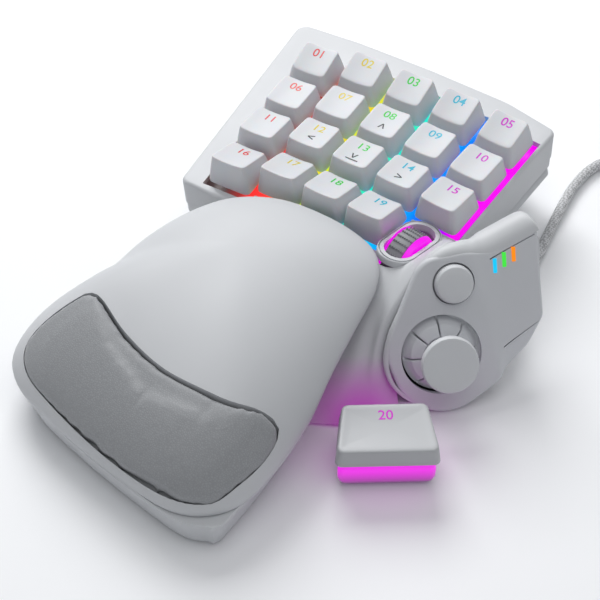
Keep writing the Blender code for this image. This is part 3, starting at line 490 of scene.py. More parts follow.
def moulded_plastic(name, hex_colour, roughness, grain_mm=0.35, depth_mm=0.012, fleck=0.03, **shader):
    """Injection-moulded ABS: a spark-eroded skin of fine grain, with a faint unevenness of shine."""
    material, tree, principled = blank(name, linear(hex_colour), roughness, IOR=1.53, **shader)
    place = object_space(tree)
    grain = node(tree, "ShaderNodeTexNoise", [(place, "Vector")], Scale=1000 / grain_mm, Detail=2.0,
                 Roughness=0.6)
    cloud = node(tree, "ShaderNodeTexNoise", [(place, "Vector")], Scale=1000 / 22.0, Detail=3.0)
    bump = node(tree, "ShaderNodeBump", [(grain.outputs["Fac"], "Height")], Strength=0.35,
                Distance=depth_mm * MM)
    tree.links.new(bump.outputs["Normal"], principled.inputs["Normal"])
    shine = node(tree, "ShaderNodeMapRange", [(cloud.outputs["Fac"], "Value")])
    for socket, value in (("From Min", 0.3), ("From Max", 0.7), ("To Min", roughness - 0.04),
                          ("To Max", roughness + 0.05)):
        shine.inputs[socket].default_value = value
    tree.links.new(shine.outputs["Result"], principled.inputs["Roughness"])
    base = linear(hex_colour)
    tone = node(tree, "ShaderNodeMix", [(cloud.outputs["Fac"], "Factor")], data_type="RGBA")
    tone.inputs["A"].default_value = (*(c * (1 - fleck) for c in base[:3]), 1)
    tone.inputs["B"].default_value = (*(min(1.0, c * (1 + fleck)) for c in base[:3]), 1)
    tree.links.new(tone.outputs["Result"], principled.inputs["Base Color"])
    return material


def leatherette():
    """Polyurethane leatherette over foam: a pebbled grain of about 0.7 mm and a soft sheen, with painted
    shade that darkens the creases between the pebbles.
    """
    material, tree, principled = blank("leatherette_grey", linear("8A8C8F"), 0.58, IOR=1.5,
                                       Sheen_Weight=0.15)
    place = object_space(tree)
    pebble = node(tree, "ShaderNodeTexVoronoi", [(place, "Vector")], Scale=1000 / 0.7,
                  Randomness=0.9, feature="DISTANCE_TO_EDGE")
    crease = node(tree, "ShaderNodeMapRange", [(pebble.outputs["Distance"], "Value")])
    crease.inputs["From Max"].default_value = 0.28
    fine = node(tree, "ShaderNodeTexNoise", [(place, "Vector")], Scale=1000 / 0.4, Detail=3.0)
    height = node(tree, "ShaderNodeMath", [(crease.outputs["Result"], 0), (fine.outputs["Fac"], 1)],
                  operation="ADD")
    bump = node(tree, "ShaderNodeBump", [(height.outputs[0], "Height")], Strength=0.6,
                Distance=0.05 * MM)
    tree.links.new(bump.outputs["Normal"], principled.inputs["Normal"])
    # Painted shade: the colour is darker in the creases between pebbles.
    tone = node(tree, "ShaderNodeValToRGB", [(crease.outputs["Result"], "Fac")])
    tone.color_ramp.elements[0].color = linear("8C8E91")
    tone.color_ramp.elements[1].color = linear("9A9C9F")
    tree.links.new(tone.outputs["Color"], principled.inputs["Base Color"])
    return material


def rubber():
    """Black silicone rubber with a dusty bloom."""
    return moulded_plastic("rubber_black", "1B1B1D", 0.8, grain_mm=0.6, depth_mm=0.03, fleck=0.2)


def brushed(name, hex_colour, roughness):
    """Nickel-plated steel with rolling lines about 0.3 mm apart."""
    material, tree, principled = blank(name, linear(hex_colour), roughness, Metallic=1.0)
    place = object_space(tree)
    stretch = node(tree, "ShaderNodeMapping", [(place, "Vector")])
    stretch.inputs["Scale"].default_value = (120, 3300, 3300)
    lines = node(tree, "ShaderNodeTexNoise", [(stretch.outputs["Vector"], "Vector")], Scale=1.0,
                 Detail=2.0)
    bump = node(tree, "ShaderNodeBump", [(lines.outputs["Fac"], "Height")], Strength=0.25,
                Distance=0.01 * MM)
    tree.links.new(bump.outputs["Normal"], principled.inputs["Normal"])
    return material


def circuit_board():
    """Green solder mask over copper tracks about 1.2 mm apart."""
    material, tree, principled = blank("solder_mask_green", linear("0F4A2A"), 0.4, IOR=1.55)
    place = object_space(tree)
    tracks = node(tree, "ShaderNodeTexBrick", [(place, "Vector")], Scale=1000 / 2.4)
    tracks.inputs["Color1"].default_value = linear("0F4A2A")
    tracks.inputs["Color2"].default_value = linear("14603A")
    tracks.inputs["Mortar"].default_value = linear("0B3820")
    tree.links.new(tracks.outputs["Color"], principled.inputs["Base Color"])
    return material


def lit_plastic(name, colour, strength, grain_mm=0.8):
    """Frosted polycarbonate lit from behind; the glow is a little uneven, as light guides are."""
    material, tree, principled = blank(name, (*(c * 0.35 for c in colour), 1.0), 0.4,
                                       Emission_Strength=strength)
    principled.inputs["Emission Color"].default_value = (*colour, 1.0)
    place = object_space(tree)
    cloud = node(tree, "ShaderNodeTexNoise", [(place, "Vector")], Scale=1000 / (grain_mm * 8))
    tone = node(tree, "ShaderNodeValToRGB", [(cloud.outputs["Fac"], "Fac")])
    tone.color_ramp.elements[0].color = (*(c * 0.8 for c in colour), 1)
    tone.color_ramp.elements[1].color = (*colour, 1)
    tree.links.new(tone.outputs["Color"], principled.inputs["Emission Color"])
    return material


def lamp_base():
    """Frosted lamp housing of the thumb key: it glows most under the cap and fades to its foot."""
    material = lit_plastic("light_guide_fading", colours().magenta, 0.95)
    tree = material.node_tree
    principled = tree.nodes["Principled BSDF"]
    place = object_space(tree)
    split = node(tree, "ShaderNodeSeparateXYZ", [(place, "Vector")])
    up = node(tree, "ShaderNodeMapRange", [(split.outputs["Z"], "Value")])
    up.inputs["From Min"].default_value, up.inputs["From Max"].default_value = 0.002, 0.009
    ramp = node(tree, "ShaderNodeValToRGB", [(up.outputs["Result"], "Fac")])
    ramp.color_ramp.elements[0].color = (0.13, 0.03, 0.14, 1)
    ramp.color_ramp.elements[1].color = (*colours().magenta, 1)
    tree.links.new(ramp.outputs["Color"], principled.inputs["Emission Color"])
    principled.inputs["Base Color"].default_value = linear("5A4A5C")
    return material


def shell_with_painted_glow():
    """White moulded ABS with painted light: a magenta glow and a dark magenta tint are painted round its
    foot beside the thumb key's lamp, in place of the lamp's spill.
    """
    material = moulded_plastic("moulded_abs_white_painted_glow", "C6C8CB", 0.50)
    tree = material.node_tree
    place = object_space(tree)
    # Painted light: a sphere round the foot beside the thumb key's lamp, where the magenta glow is painted.
    centred = node(tree, "ShaderNodeMapping", [(place, "Vector")])
    centred.inputs["Location"].default_value = (-1.46, 1.30, -0.1)
    centred.inputs["Scale"].default_value = (40, 40, 50)
    painted_glow_mask = node(tree, "ShaderNodeTexGradient", [(centred.outputs["Vector"], "Vector")],
                 gradient_type="SPHERICAL")
    ramp = node(tree, "ShaderNodeValToRGB", [(painted_glow_mask.outputs["Fac"], "Fac")])
    ramp.color_ramp.elements[0].color = (0, 0, 0, 1)
    ramp.color_ramp.elements[1].color = (*colours().magenta, 1)
    principled = tree.nodes["Principled BSDF"]
    tree.links.new(ramp.outputs["Color"], principled.inputs["Emission Color"])
    # Painted glow: the shell emits magenta inside that sphere, though it is no lamp.
    principled.inputs["Emission Strength"].default_value = 0.3
    plain = principled.inputs["Base Color"].links[0].from_socket
    # Painted light: the base colour is tinted dark magenta inside the same sphere.
    painted_glow_tint = node(tree, "ShaderNodeMix", [(painted_glow_mask.outputs["Fac"], "Factor")], data_type="RGBA")
    painted_glow_tint.inputs["B"].default_value = linear("6A1070")
    tree.links.new(plain, painted_glow_tint.inputs["A"])
    tree.links.new(painted_glow_tint.outputs["Result"], principled.inputs["Base Color"])
    return material


def rainbow_plate():
    """Frosted light guide under the keys, with one lamp colour for each gap between columns."""
    shade = colours()
    material, tree, principled = blank("light_guide_rainbow", linear("3A3A3A"), 0.4,
                                       Emission_Strength=1.1)
    place = object_space(tree)
    split = node(tree, "ShaderNodeSeparateXYZ", [(place, "Vector")])
    across = node(tree, "ShaderNodeMapRange", [(split.outputs["X"], "Value")])
    across.inputs["From Min"].default_value = GUIDE_LEFT * MM
    across.inputs["From Max"].default_value = GUIDE_RIGHT * MM
    ramp = node(tree, "ShaderNodeValToRGB", [(across.outputs["Result"], "Fac")])
    stops = ((-52, (0.05, 0.03, 0.03)), (-46, (0.3, 0.03, 0.03)), (-42, shade.red), (-37, shade.red),
             (-31, (0.85, 0.35, 0.02)), (-24, (0.62, 0.85, 0.02)), (-14, (0.10, 0.80, 0.10)),
             (-6, (0.0, 0.75, 0.60)), (3, shade.cyan), (11, (0.0, 0.30, 0.95)),
             (17, (0.0, 0.06, 0.95)), (24, (0.25, 0.0, 0.9)),
             (30, shade.magenta))
    elements = ramp.color_ramp.elements
    elements.remove(elements[-1])
    elements[0].position = 0.0
    elements[0].color = (0.05, 0.03, 0.03, 1.0)
    for x, colour in stops:
        elements.new((x - GUIDE_LEFT) / (GUIDE_RIGHT - GUIDE_LEFT)).color = (*colour, 1.0)
    tree.links.new(ramp.outputs["Color"], principled.inputs["Emission Color"])
    return material


def braided_sleeve():
    """Nylon braid over the cable: two sets of 0.5 mm yarns that cross at a slant."""
    material, tree, principled = blank("nylon_braid_grey", linear("B9BABC"), 0.75, Sheen_Weight=0.3)
    place = object_space(tree)
    turn = node(tree, "ShaderNodeMapping", [(place, "Vector")])
    turn.inputs["Rotation"].default_value = (0.3, 0.4, math.radians(45))
    weave = node(tree, "ShaderNodeTexChecker", [(turn.outputs["Vector"], "Vector")], Scale=1000 / 0.9)
    weave.inputs["Color1"].default_value = linear("A2A3A5")
    weave.inputs["Color2"].default_value = linear("CFD0D2")
    tree.links.new(weave.outputs["Color"], principled.inputs["Base Color"])
    bump = node(tree, "ShaderNodeBump", [(weave.outputs["Fac"], "Height")], Strength=0.5,
                Distance=0.08 * MM)
    tree.links.new(bump.outputs["Normal"], principled.inputs["Normal"])
    return material


FINISHES = {}


def finish(name):
    """Make each finish once."""
    makers = {
        "shell": lambda: moulded_plastic("moulded_abs_white", "C6C8CB", 0.50),
        "palm": lambda: moulded_plastic("satin_abs_white", "C4C6C9", 0.55, grain_mm=0.5),
        "keycap": lambda: moulded_plastic("double_shot_abs_white", "CED0D4", 0.5, grain_mm=0.25,
                                          Subsurface_Weight=0.25, Subsurface_Scale=0.002),
        "face": lambda: moulded_plastic("moulded_abs_grey", "C9CBCF", 0.5),
        "grip": lambda: moulded_plastic("soft_touch_grey", "CCCED1", 0.6, grain_mm=0.6, depth_mm=0.03),
        "tyre": lambda: moulded_plastic("wheel_rubber_grey", "8A8C8F", 0.6, depth_mm=0.02),
        "dark": lambda: moulded_plastic("moulded_abs_dark", "3A3B3E", 0.6),
        "thumb_cap": lambda: moulded_plastic("double_shot_abs_grey", "B0B2B5", 0.4, grain_mm=0.25),
        "lamp": lamp_base,
        # White shell with a magenta glow painted round its foot.
        "shell_with_painted_glow": shell_with_painted_glow,
        "leather": leatherette,
        "rubber": rubber,
        "steel": lambda: brushed("nickel_plated_steel", "C9C9CB", 0.28),
        "board": circuit_board,
        "silicone": lambda: moulded_plastic("clear_silicone", "D8D8D2", 0.5, fleck=0.06),
        "rainbow": rainbow_plate,
        "magenta": lambda: lit_plastic("light_guide_magenta", colours().magenta, 0.9),
        "braid": braided_sleeve,
        "floor": lambda: moulded_plastic("painted_board_white", "F4F5F7", 0.85, grain_mm=1.5,
                                         fleck=0.003),
    }
    if name not in FINISHES:
        FINISHES[name] = makers[name]()
    return FINISHES[name]


def ink(name, colour):
    """Translucent legend moulded through the cap and lit from below."""
    key = f"ink_{name}"
    if key not in FINISHES:
        FINISHES[key] = lit_plastic(f"legend_{name}", colour, 0.35, grain_mm=0.4)
    return FINISHES[key]


# ---------------------------------------------------------------- pieces

DIGIT_COLOURS = ("red", "yellow", "green", "cyan", "magenta")
MARKS = {8: (-90.0, 0.0), 12: (0.0, 0.0), 13: (90.0, 0.0), 14: (180.0, 0.0)}


def cap_top(row, x, y):
    """Height of a key's dished top over its base."""
    dish = sizes().key_dish / MM
    return (ROW_HEIGHT[row] + (y - ROW_TOP_SHIFT[row]) * math.tan(ROW_TILT[row])
            - dish * (1 - min(1.0, (x / KEY_TOP_HALF) ** 2)))


def squircle(half_x, half_y, corner, count=56):
    """Rectangle with rounded corners as a ring, its points closer together at the corners."""
    ring = []
    for i in range(count):
        angle = math.tau * (i + 0.5) / count
        c, s = math.cos(angle), math.sin(angle)
        reach = (abs(c) ** corner + abs(s) ** corner) ** (-1 / corner)
        ring.append(Vector((half_x * c * reach, half_y * s * reach)))
    return ring


def keycap(row):
    """Sculpted cap with a dished top, rounded edges and sides that flare to the skirt."""
    corner, edge = sizes().key_corner, sizes().key_edge / MM
    depth, shift = ROW_TOP_DEPTH[row] / 2, ROW_TOP_SHIFT[row]
    rings = []
    top = squircle(KEY_TOP_HALF, depth, corner)
    for share in (0.2, 0.45, 0.7):
        rings.append([(p.x * share, p.y * share + shift, cap_top(row, p.x * share, p.y * share + shift))
                      for p in top])
    for inset, drop in edge_profile(edge, 4):
        small = squircle(KEY_TOP_HALF - inset, depth - inset, corner)
        rings.append([(p.x, p.y + shift, cap_top(row, p.x, p.y + shift) - drop) for p in small])
    rim = rings[-1]
    for share in (0.12, 0.3, 0.5, 0.7, 0.87, 1.0):
        grow = share ** 0.85
        side = squircle(KEY_TOP_HALF + (KEY_SKIRT_HALF - KEY_TOP_HALF) * grow,
                        depth + (KEY_SKIRT_HALF - depth) * grow, corner)
        rings.append([(p.x, p.y + shift * (1 - share), r[2] + (KEY_SKIRT_LOW - r[2]) * share)
                      for p, r in zip(side, rim)])
    under = squircle(7.3, 7.3, corner)
    rings += [[(p.x, p.y, KEY_SKIRT_LOW) for p in under], [(p.x * 0.9, p.y * 0.9, 3.2) for p in under]]
    return loft(f"cap_row_{row + 1}", rings)


def lettering(text, size, turn=0.0, offset=0.05):
    """Flat characters, centred, as a mesh."""
    bpy.ops.object.select_all(action="DESELECT")
    bpy.ops.object.text_add()
    obj = bpy.context.object
    obj.data.body = text
    obj.data.size = size
    obj.data.align_x = obj.data.align_y = "CENTER"
    obj.data.offset = offset * size / 4.5
    pick(obj)
    bpy.ops.object.convert(target="MESH")
    obj = bpy.context.object
    obj.data.transform(Matrix.Rotation(math.radians(turn), 4, "Z"))
    return obj


def lay_on_cap(obj, row, x, y):
    """Lay flat characters on a key's top."""
    with editing(obj):
        bpy.ops.mesh.subdivide(number_cuts=1)
    shape(obj, lambda co: Vector((co.x + x, co.y + y, cap_top(row, co.x + x, co.y + y) + LEGEND_LIFT)))
    return obj


def build_keys():
    """Nineteen caps with their numbers and marks."""
    caps = [keycap(row) for row in range(4)]
    number = 0
    for row in range(4):
        for column in range(5):
            number += 1
            if number == 20:
                continue
            place = key_place(row, column)
            body = f"key_{number:02d}"
            cap = copy_of(caps[row], f"cap_{number:02d}")
            settle(cap, place, finish("keycap"), body, (f"keycap_{number:02d}",), 40)
            colour = DIGIT_COLOURS[column]
            digits = lay_on_cap(lettering(f"{number:02d}", 4.9), row, 0.0,
                                ROW_TOP_DEPTH[row] * 0.22 + ROW_TOP_SHIFT[row])
            digits.name = f"number_{number:02d}"
            settle(digits, place, ink(colour, getattr(colours(), colour)), body)
            if number in MARKS:
                mark = lay_on_cap(lettering("<", 5.0, MARKS[number][0]), row, 0.0, -2.6)
                mark.name = f"mark_{number:02d}"
                settle(mark, place, finish("dark"), body)
            if number == 13:
                bar = start("plane", "home_bar", size=1.0)
                shape(bar, lambda co: Vector((co.x * 5.0, co.y * 0.45 - 4.9, 0)))
                shape(bar, lambda co: Vector((co.x, co.y, cap_top(row, co.x, co.y) + LEGEND_LIFT)))
                settle(bar, place, finish("dark"), body)
    for cap in caps:
        bpy.data.objects.remove(cap)


def closed(ring):
    """A ring with its first point repeated at the end."""
    return [Vector(p[:2]) for p in ring] + [Vector(ring[0][:2])]


def deck_corners():
    """Plan of the deck."""
    return rounded([(-53.6, -45.2, 3.0), (27.6, -45.0, 3.0), (27.6, -22.0, 2.0), (47.6, -22.0, 3.0),
                    (52.4, 44.0, 3.5), (30.0, 48.6, 40.0), (-4.0, 49.8, 60.0), (-35.0, 49.6, 60.0),
                    (-61.2, 47.6, 4.5)], 8)


def lifted(ring, height):
    """A flat ring at a height."""
    return [(p.x, p.y, height) for p in ring]


def build_deck():
    """Deck cover with its key openings, and the tray and pedestal under it."""
    outline, middle = deck_corners(), Vector((-8.0, 5.0))
    inner = drawn_in(outline, 2.2)

    def flat(ring, shares, height):
        return [lifted([middle.lerp(p, share) for p in ring], height) for share in shares]

    rings = flat(drawn_in(outline, 1.4), (0.3, 0.6, 0.85, 0.95), 0.0)
    rings += [lifted(drawn_in(outline, inset), -drop) for inset, drop in edge_profile(1.4, 6)]
    rings += [lifted(outline, -6.0), lifted(outline, -11.7), lifted(drawn_in(outline, 0.3), -12.0),
              lifted(inner, -12.0), lifted(inner, -2.2)]
    cover = loft("deck_skin", rings + flat(inner, (0.95, 0.6, 0.3), -2.2))
    openings = []
    for column in range(5):
        x, setback, turn = key_column(column)
        rows = 3 if column == 4 else 4
        length = rows * ROW_PITCH + (-0.2 if rows == 3 else 1.4)
        along = (4 - rows) * ROW_PITCH / 2
        nudge = 0.5 if column == 4 else 0.0
        box = start("cube", "opening", size=1.0)
        box.data.transform(Matrix.Translation((x, setback, -1.0)) @ Matrix.Rotation(turn, 4, "Z")
                           @ Matrix.Translation((nudge, along, 0.0))
                           @ Matrix.Diagonal((COLUMN_PITCH + 0.8, length, 8.0, 1.0)))
        openings.append(box)
    cut(cover, *openings)
    settle(cover, deck_place(), finish("shell"), "base", ("deck_cover",), 30)

    low = drawn_in(outline, 0.35)
    rings = flat(low, (0.3, 0.9), -12.3) + [lifted(low, -12.3), lifted(low, -16.5)]
    rings += [lifted(drawn_in(low, inset), -16.5 - drop) for inset, drop in edge_profile(5.0, 6)]
    tray = loft("tray_skin", rings + flat(drawn_in(low, 5.0), (0.9, 0.3), -21.5))
    settle(tray, deck_place(), finish("shell"), "base", (), 30)
    foot = rounded([(-58.0, 13.5, 5), (12.0, 13.5, 5), (12.0, 36.0, 5), (27.5, 36.0, 8),
                    (29.5, 90.0, 8), (-4.0, 95.0, 60), (-63.0, 90.0, 8)], 6)
    pedestal = slab("pedestal", foot, 1.3, 14.0, 0.0, 1.5)
    settle(pedestal, at((0, 0, 0)), finish("shell"), "base", ("bottom_tray",), 30)


def dome(share):
    """Height of the palm dome as a share of its rise."""
    return max(0.0, 1.0 - share ** 2.3) ** 0.72


def palm_point(point, share):
    """Point of the palm surface on the way from its peak to a point of its rim."""
    place = PALM_PEAK.xy.lerp(point.xy, share)
    return Vector((place.x, place.y, point.z + (PALM_PEAK.z - point.z) * dome(share)))


def palm_height(x, y, ring):
    """Height of the palm surface over a point of the plan."""
    ray = Vector((x, y)) - PALM_PEAK.xy
    if ray.length < 0.001:
        return PALM_PEAK.z
    for i, here in enumerate(ring):
        there = ring[(i + 1) % len(ring)]
        a, b = here.xy - PALM_PEAK.xy, there.xy - PALM_PEAK.xy
        area = a.cross(b)
        u, v = ray.cross(b) / area, a.cross(ray) / area
        if u >= -1e-9 and v >= -1e-9:
            rim = (u * here.z + v * there.z) / (u + v)
            return rim + (PALM_PEAK.z - rim) * dome(min(1.0, u + v))
    return PALM_PEAK.z


def cushion_body(name, grow, bottom, top, crown=0.0):
    """Body over the cushion's plan that follows the palm surface."""
    rim = even_ring(PALM_OUTLINE, 96)
    outline = drawn_in(even_ring([(*p, 0) for p in CUSHION_OUTLINE], 88), -grow)

    def ring(share, lift, inset=0.0):
        points = [CUSHION_CENTRE.lerp(Vector(p), share) for p in drawn_in(outline, inset)]
        return [(p.x, p.y, palm_height(p.x, p.y, rim) + lift) for p in points]

    upper = [ring(s, top + crown * (1 - s * s)) for s in (0.15, 0.35, 0.55, 0.7, 0.82)]
    upper += [ring(1.0, top - drop, inset) for inset, drop in edge_profile(1.1, 4)]
    lower = [ring(s, bottom) for s in (1.0, 0.8, 0.5, 0.2)]
    return loft(name, upper + lower)


def build_palm_rest():
    """Domed shell, padded cushion and the base that it stands on."""
    rim = even_ring(PALM_OUTLINE, 128)
    rings = [[palm_point(p, s) for p in rim] for s in
             (0.06, 0.14, 0.24, 0.34, 0.44, 0.53, 0.61, 0.68, 0.74, 0.79, 0.84, 0.88, 0.915,
              0.94, 0.96, 0.975, 0.988, 0.996)]
    rings.append([(p.x, p.y, p.z) for p in rim])
    rings.append([(p.x, p.y, p.z - PALM_LIP * 0.5) for p in rim])
    edge = drawn_in(rim, 0.5)
    rings.append([(e.x, e.y, p.z - PALM_LIP * 0.85) for e, p in zip(edge, rim)])
    edge = drawn_in(rim, 1.4)
    rings.append([(e.x, e.y, p.z - PALM_LIP) for e, p in zip(edge, rim)])
    for share in (0.93, 0.8, 0.45, 0.1):
        rings.append([palm_point(p, share) - Vector((0, 0, PALM_SHELL_DEPTH)) for p in rim])
    shell = loft("palm_skin", rings)
    cut(shell, cushion_body("bed", 0.1, -BED_DEPTH, 12.0))
    settle(shell, at((0, 0, 0)), finish("palm"), "palm_rest", ("palm_shell",), 40)

    pad = cushion_body("palm_pad", -0.1, -PAD_DEPTH, 0.5, 0.5)
    swell(pad)
    settle(pad, at((0, 0, 0)), finish("leather"), "palm_rest", ("palm_cushion",), 60)

    base = even_ring([(*p, 0) for p in PALM_BASE], 128)
    rings = [lifted(drawn_in(base, 1.0), 13.4)]
    for z, grow in ((13.4, 1.6), (12.6, 2.0), (10.0, 1.4), (7.0, 0.8), (3.0, 0.0), (1.8, -0.4),
                    (1.3, -1.2)):
        rings.append(lifted(drawn_in(base, -grow), z))
    rings.append(lifted(drawn_in(base, 6.0), 1.3))
    tray = loft("palm_base_skin", rings)
    settle(tray, at((0, 0, 0)), finish("shell"), "palm_rest", ("palm_tray",), 35)


def swell(pad):
    """Inflate the pad a little, as foam under a stretched skin."""
    apply_modifier(pad, "REMESH", mode="VOXEL", voxel_size=1.5)
    rest = [v.co.copy() for v in pad.data.vertices]
    pick(pad)
    pad.data.transform(Matrix.Scale(0.1, 4))
    cloth = pad.modifiers.new("cloth", "CLOTH")
    cloth.settings.use_pressure = True
    cloth.settings.uniform_pressure_force = 4.0
    cloth.settings.effector_weights.gravity = 0.0
    cloth.settings.quality = 4
    scene = bpy.context.scene
    for step in range(1, 13):
        scene.frame_set(step)
    bpy.ops.object.modifier_apply(modifier=cloth.name)
    scene.frame_set(1)
    for vertex, was in zip(pad.data.vertices, rest):
        move = vertex.co * 10 - was
        if move.length > PAD_SWELL:
            move *= PAD_SWELL / move.length
        vertex.co = was + move
    apply_modifier(pad, "SUBSURF", levels=1, render_levels=1)


def waist_surface(count_u=56, count_v=36):
    """Rows of points over the waist, smooth through its stations."""
    columns = [[Vector(row[k]) for row in WAIST_ROWS] for k in range(5)]
    lines = [resampled(curved(column, 12), count_u) for column in columns]
    surface = []
    for i in range(count_u):
        surface.append(resampled(curved([line[i] for line in lines], 10), count_v))
    return surface


def build_waist():
    """Curved cover between the wheel, the palm rest and the thumb face."""
    rows = waist_surface()
    nu, nv = len(rows), len(rows[0])
    cover = start("grid", "waist_skin", x_subdivisions=nu - 1, y_subdivisions=nv - 1, size=2)

    def mould(co):
        i = round((co.x + 1) / 2 * (nu - 1))
        j = round((co.y + 1) / 2 * (nv - 1))
        return rows[i][j]

    shape(cover, mould)
    middle = cover.data.polygons[len(cover.data.polygons) // 2]
    if middle.normal.z < 0:
        with editing(cover):
            bpy.ops.mesh.flip_normals()
    apply_modifier(cover, "SOLIDIFY", thickness=1.8, offset=-1.0)
    inverse = at((0, 0, 0)).inverted() @ wheel_place()
    hole = slab("hole", stadium(15.1, 27.3), -7.0, 7.0)
    hole.data.transform(inverse)
    cut(cover, hole)
    # The cover's finish has a magenta glow painted round its foot as painted light.
    settle(cover, at((0, 0, 0)), finish("shell_with_painted_glow"), "base", ("waist_cover",), 40)


def build_wheel():
    """Bezel, tyre with rows of pips, and two lit rims."""
    bezel = slab("bezel_skin", stadium(15.0, 27.2), -1.6, 0.9, 0.5)
    moat = slab("moat", stadium(14.2, 26.4), 0.1, 4.0)
    cut(moat, slab("island", stadium(13.2, 25.2), -2.0, 6.0))
    cut(bezel, moat, slab("slot", stadium(10.9, 22.4), -4.0, 4.0))
    settle(bezel, wheel_place(), finish("shell"), "base", ("wheel_bezel",), 30)

    axle = wheel_place(-WHEEL_DROP) @ Matrix.Rotation(math.radians(90), 4, "Y")
    tyre = turned("tyre_body", [(1.7, -3.9), (9.7, -3.9), (10.0, -3.5), (10.0, 2.1), (9.8, 2.4),
                                (1.7, 2.4)], 72)
    pip = start("cube", "pip", size=1.0)
    pip.data.transform(Matrix.Diagonal((0.9, 0.7, 0.6, 1.0)))
    choose_faces(pip, lambda c, n: n.x > 0.9)
    bpy.ops.transform.resize(value=(1, 0.5, 0.5))
    bpy.ops.object.mode_set(mode="OBJECT")
    pips = []
    rows = sizes().tyre_rows
    for k in range(rows):
        for z in (-3.4, -2.5, -1.6, -0.7, 0.2, 1.1, 2.0):
            turn = Matrix.Rotation(math.tau * k / rows, 4, "Z")
            pips.append(copy_of(pip, "pip", turn @ Matrix.Translation((10.2, 0, z))))
    bpy.data.objects.remove(pip)
    tyre = joined([tyre] + pips, "tyre_skin")
    settle(tyre, axle, finish("tyre"), "wheel", ("wheel_tyre",), 40)
    for side, name, near, far in ((1, "right", 2.7, 4.9), (-1, "left", 4.1, 4.9)):
        rim = turned(f"rim_{name}_skin", [(1.7, side * near), (10.1, side * near),
                                          (10.35, side * (near + 0.2)), (10.2, side * (near + 0.5)),
                                          (9.6, side * (far - 0.2)), (8.6, side * far),
                                          (1.7, side * far)], 72)
        settle(rim, axle, finish("magenta"), "wheel", (f"wheel_rim_{name}",), 50)


def face_bend(p, q):
    """Drop of the face where its wing leans away from the round end and rounds off at its foot."""
    over = p - (12.9 + 0.169 * (32.4 - q))
    drop = 2.4 * (1 - math.exp(-(math.hypot(over, 0.8) + over) / 12))
    below = (p - 19.5) * 0.497 - (q + 1.7) * 0.868
    if below > 0:
        drop += min(1.0, max(0.0, over / 3)) * (0.16 * below + 0.03 * below ** 2)
    return -drop


def face_outline():
    """Outline of the thumb face."""
    return rounded([(-5.0, 32.6, 9.0), (-19.6, 3.0, 16.0), (-13.6, -15.0, 15.0), (2.0, -22.6, 17.0),
                    (18.6, -12.4, 16.0), (30.6, -1.6, 8.0), (36.0, 8.4, 5.0), (35.2, 38.4, 1.5),
                    (19.5, 32.6, 12.0), (9.6, 33.8, 10.0)], 7)


def build_thumb_face():
    """Face with its openings, status lights, round button and housing."""
    outline = resampled(closed(face_outline()), 201)[:-1]
    centre = Vector((10.0, 10.0))

    def level(ring, height):
        return [Vector((p.x, p.y, height + face_bend(p.x, p.y))) for p in ring]

    inner = drawn_in(outline, 1.3)
    rings = [level([centre.lerp(p, k / 16) for p in inner], 0.0) for k in range(2, 16)]
    rings += [level(drawn_in(outline, inset), -drop) for inset, drop in edge_profile(1.3, 5)]
    rings += [level(outline, -2.4)]
    rings += [level([centre.lerp(p, share) for p in inner], -2.4) for share in (1.0, 0.7, 0.4, 0.2)]
    face = loft("face_skin", rings)
    pad_hole = slab("pad_hole", arc((0, 0), 13.6, 0, 360, 72)[:-1], -6, 6)
    button_hole = slab("button_hole", arc(BUTTON_AT, 7.1, 0, 360, 48)[:-1], -6, 6)
    slits = []
    for p, q in STATUS_AT:
        slit = start("cube", "slit", size=1.0)
        slit.data.transform(Matrix.Translation((p, q, face_bend(p, q)))
                            @ Matrix.Diagonal((1.1, 4.8, 0.8, 1.0)))
        slits.append(slit)
    for (p, q), long, lean in (((26.4, 2.3), 18.0, 29.5), ((26.2, 33.2), 17.0, 22.7)):
        line = start("cube", "line", size=1.0)
        line.data.transform(Matrix.Translation((p, q, face_bend(p, q))) @ Matrix.Rotation(
            math.radians(lean), 4, "Z") @ Matrix.Diagonal((long, 0.45, 1.6, 1.0)))
        slits.append(line)
    cut(face, pad_hole, button_hole, *slits)
    settle(face, face_place(), finish("face"), "base", ("thumb_face",), 35)
    for (p, q), name, colour in zip(STATUS_AT, ("left", "middle", "right"), (
            (0.0, 0.55, 0.9), (0.05, 0.75, 0.05), (0.95, 0.25, 0.0))):
        light = start("cube", f"status_light_{name}", size=1.0)
        light.data.transform(Matrix.Translation((p, q, face_bend(p, q) - 0.2))
                             @ Matrix.Diagonal((1.3, 4.9, 1.0, 1.0)))
        apply_modifier(light, "BEVEL", width=0.15, segments=2)
        settle(light, face_place(), lit_plastic(f"status_{name}", colour, 1.0), "base",
               ("status_light_pipe",))

    button = turned("button_skin", [(0.0, 2.75), (3.0, 2.72), (5.2, 2.55), (5.9, 2.3), (6.35, 1.7),
                                    (6.5, 1.0), (6.5, -3.2), (0.0, -3.2)], 64)
    settle(button, face_place(*BUTTON_AT), finish("grip"), "button", ("thumb_button",),
           30)

    rear = even_ring([(p, q, 0) for p, q, _ in reversed(HOUSING_OUTLINE)], 96)
    heart = Vector((18.0, 20.0))

    def behind(share, depth):
        ring = [heart.lerp(point.xy, share) for point in rear]
        return [Vector((c.x, c.y, -depth + 0.8 * face_bend(c.x, c.y))) for c in ring]

    rings = [behind(0.3, 2.45), behind(0.7, 2.45), behind(0.97, 2.45), behind(1.0, 2.8)]
    rings += [behind((1 - t ** 2.6) ** 0.42, 3.0 + 11.0 * t) for t in (0.2, 0.4, 0.55, 0.7, 0.8, 0.88,
                                                                       0.94, 0.975)]
    housing = loft("housing_skin", rings + [behind(0.12, 14.0)])
    settle(housing, face_place(), finish("shell"), "base", ("thumb_back_cover",), 50)


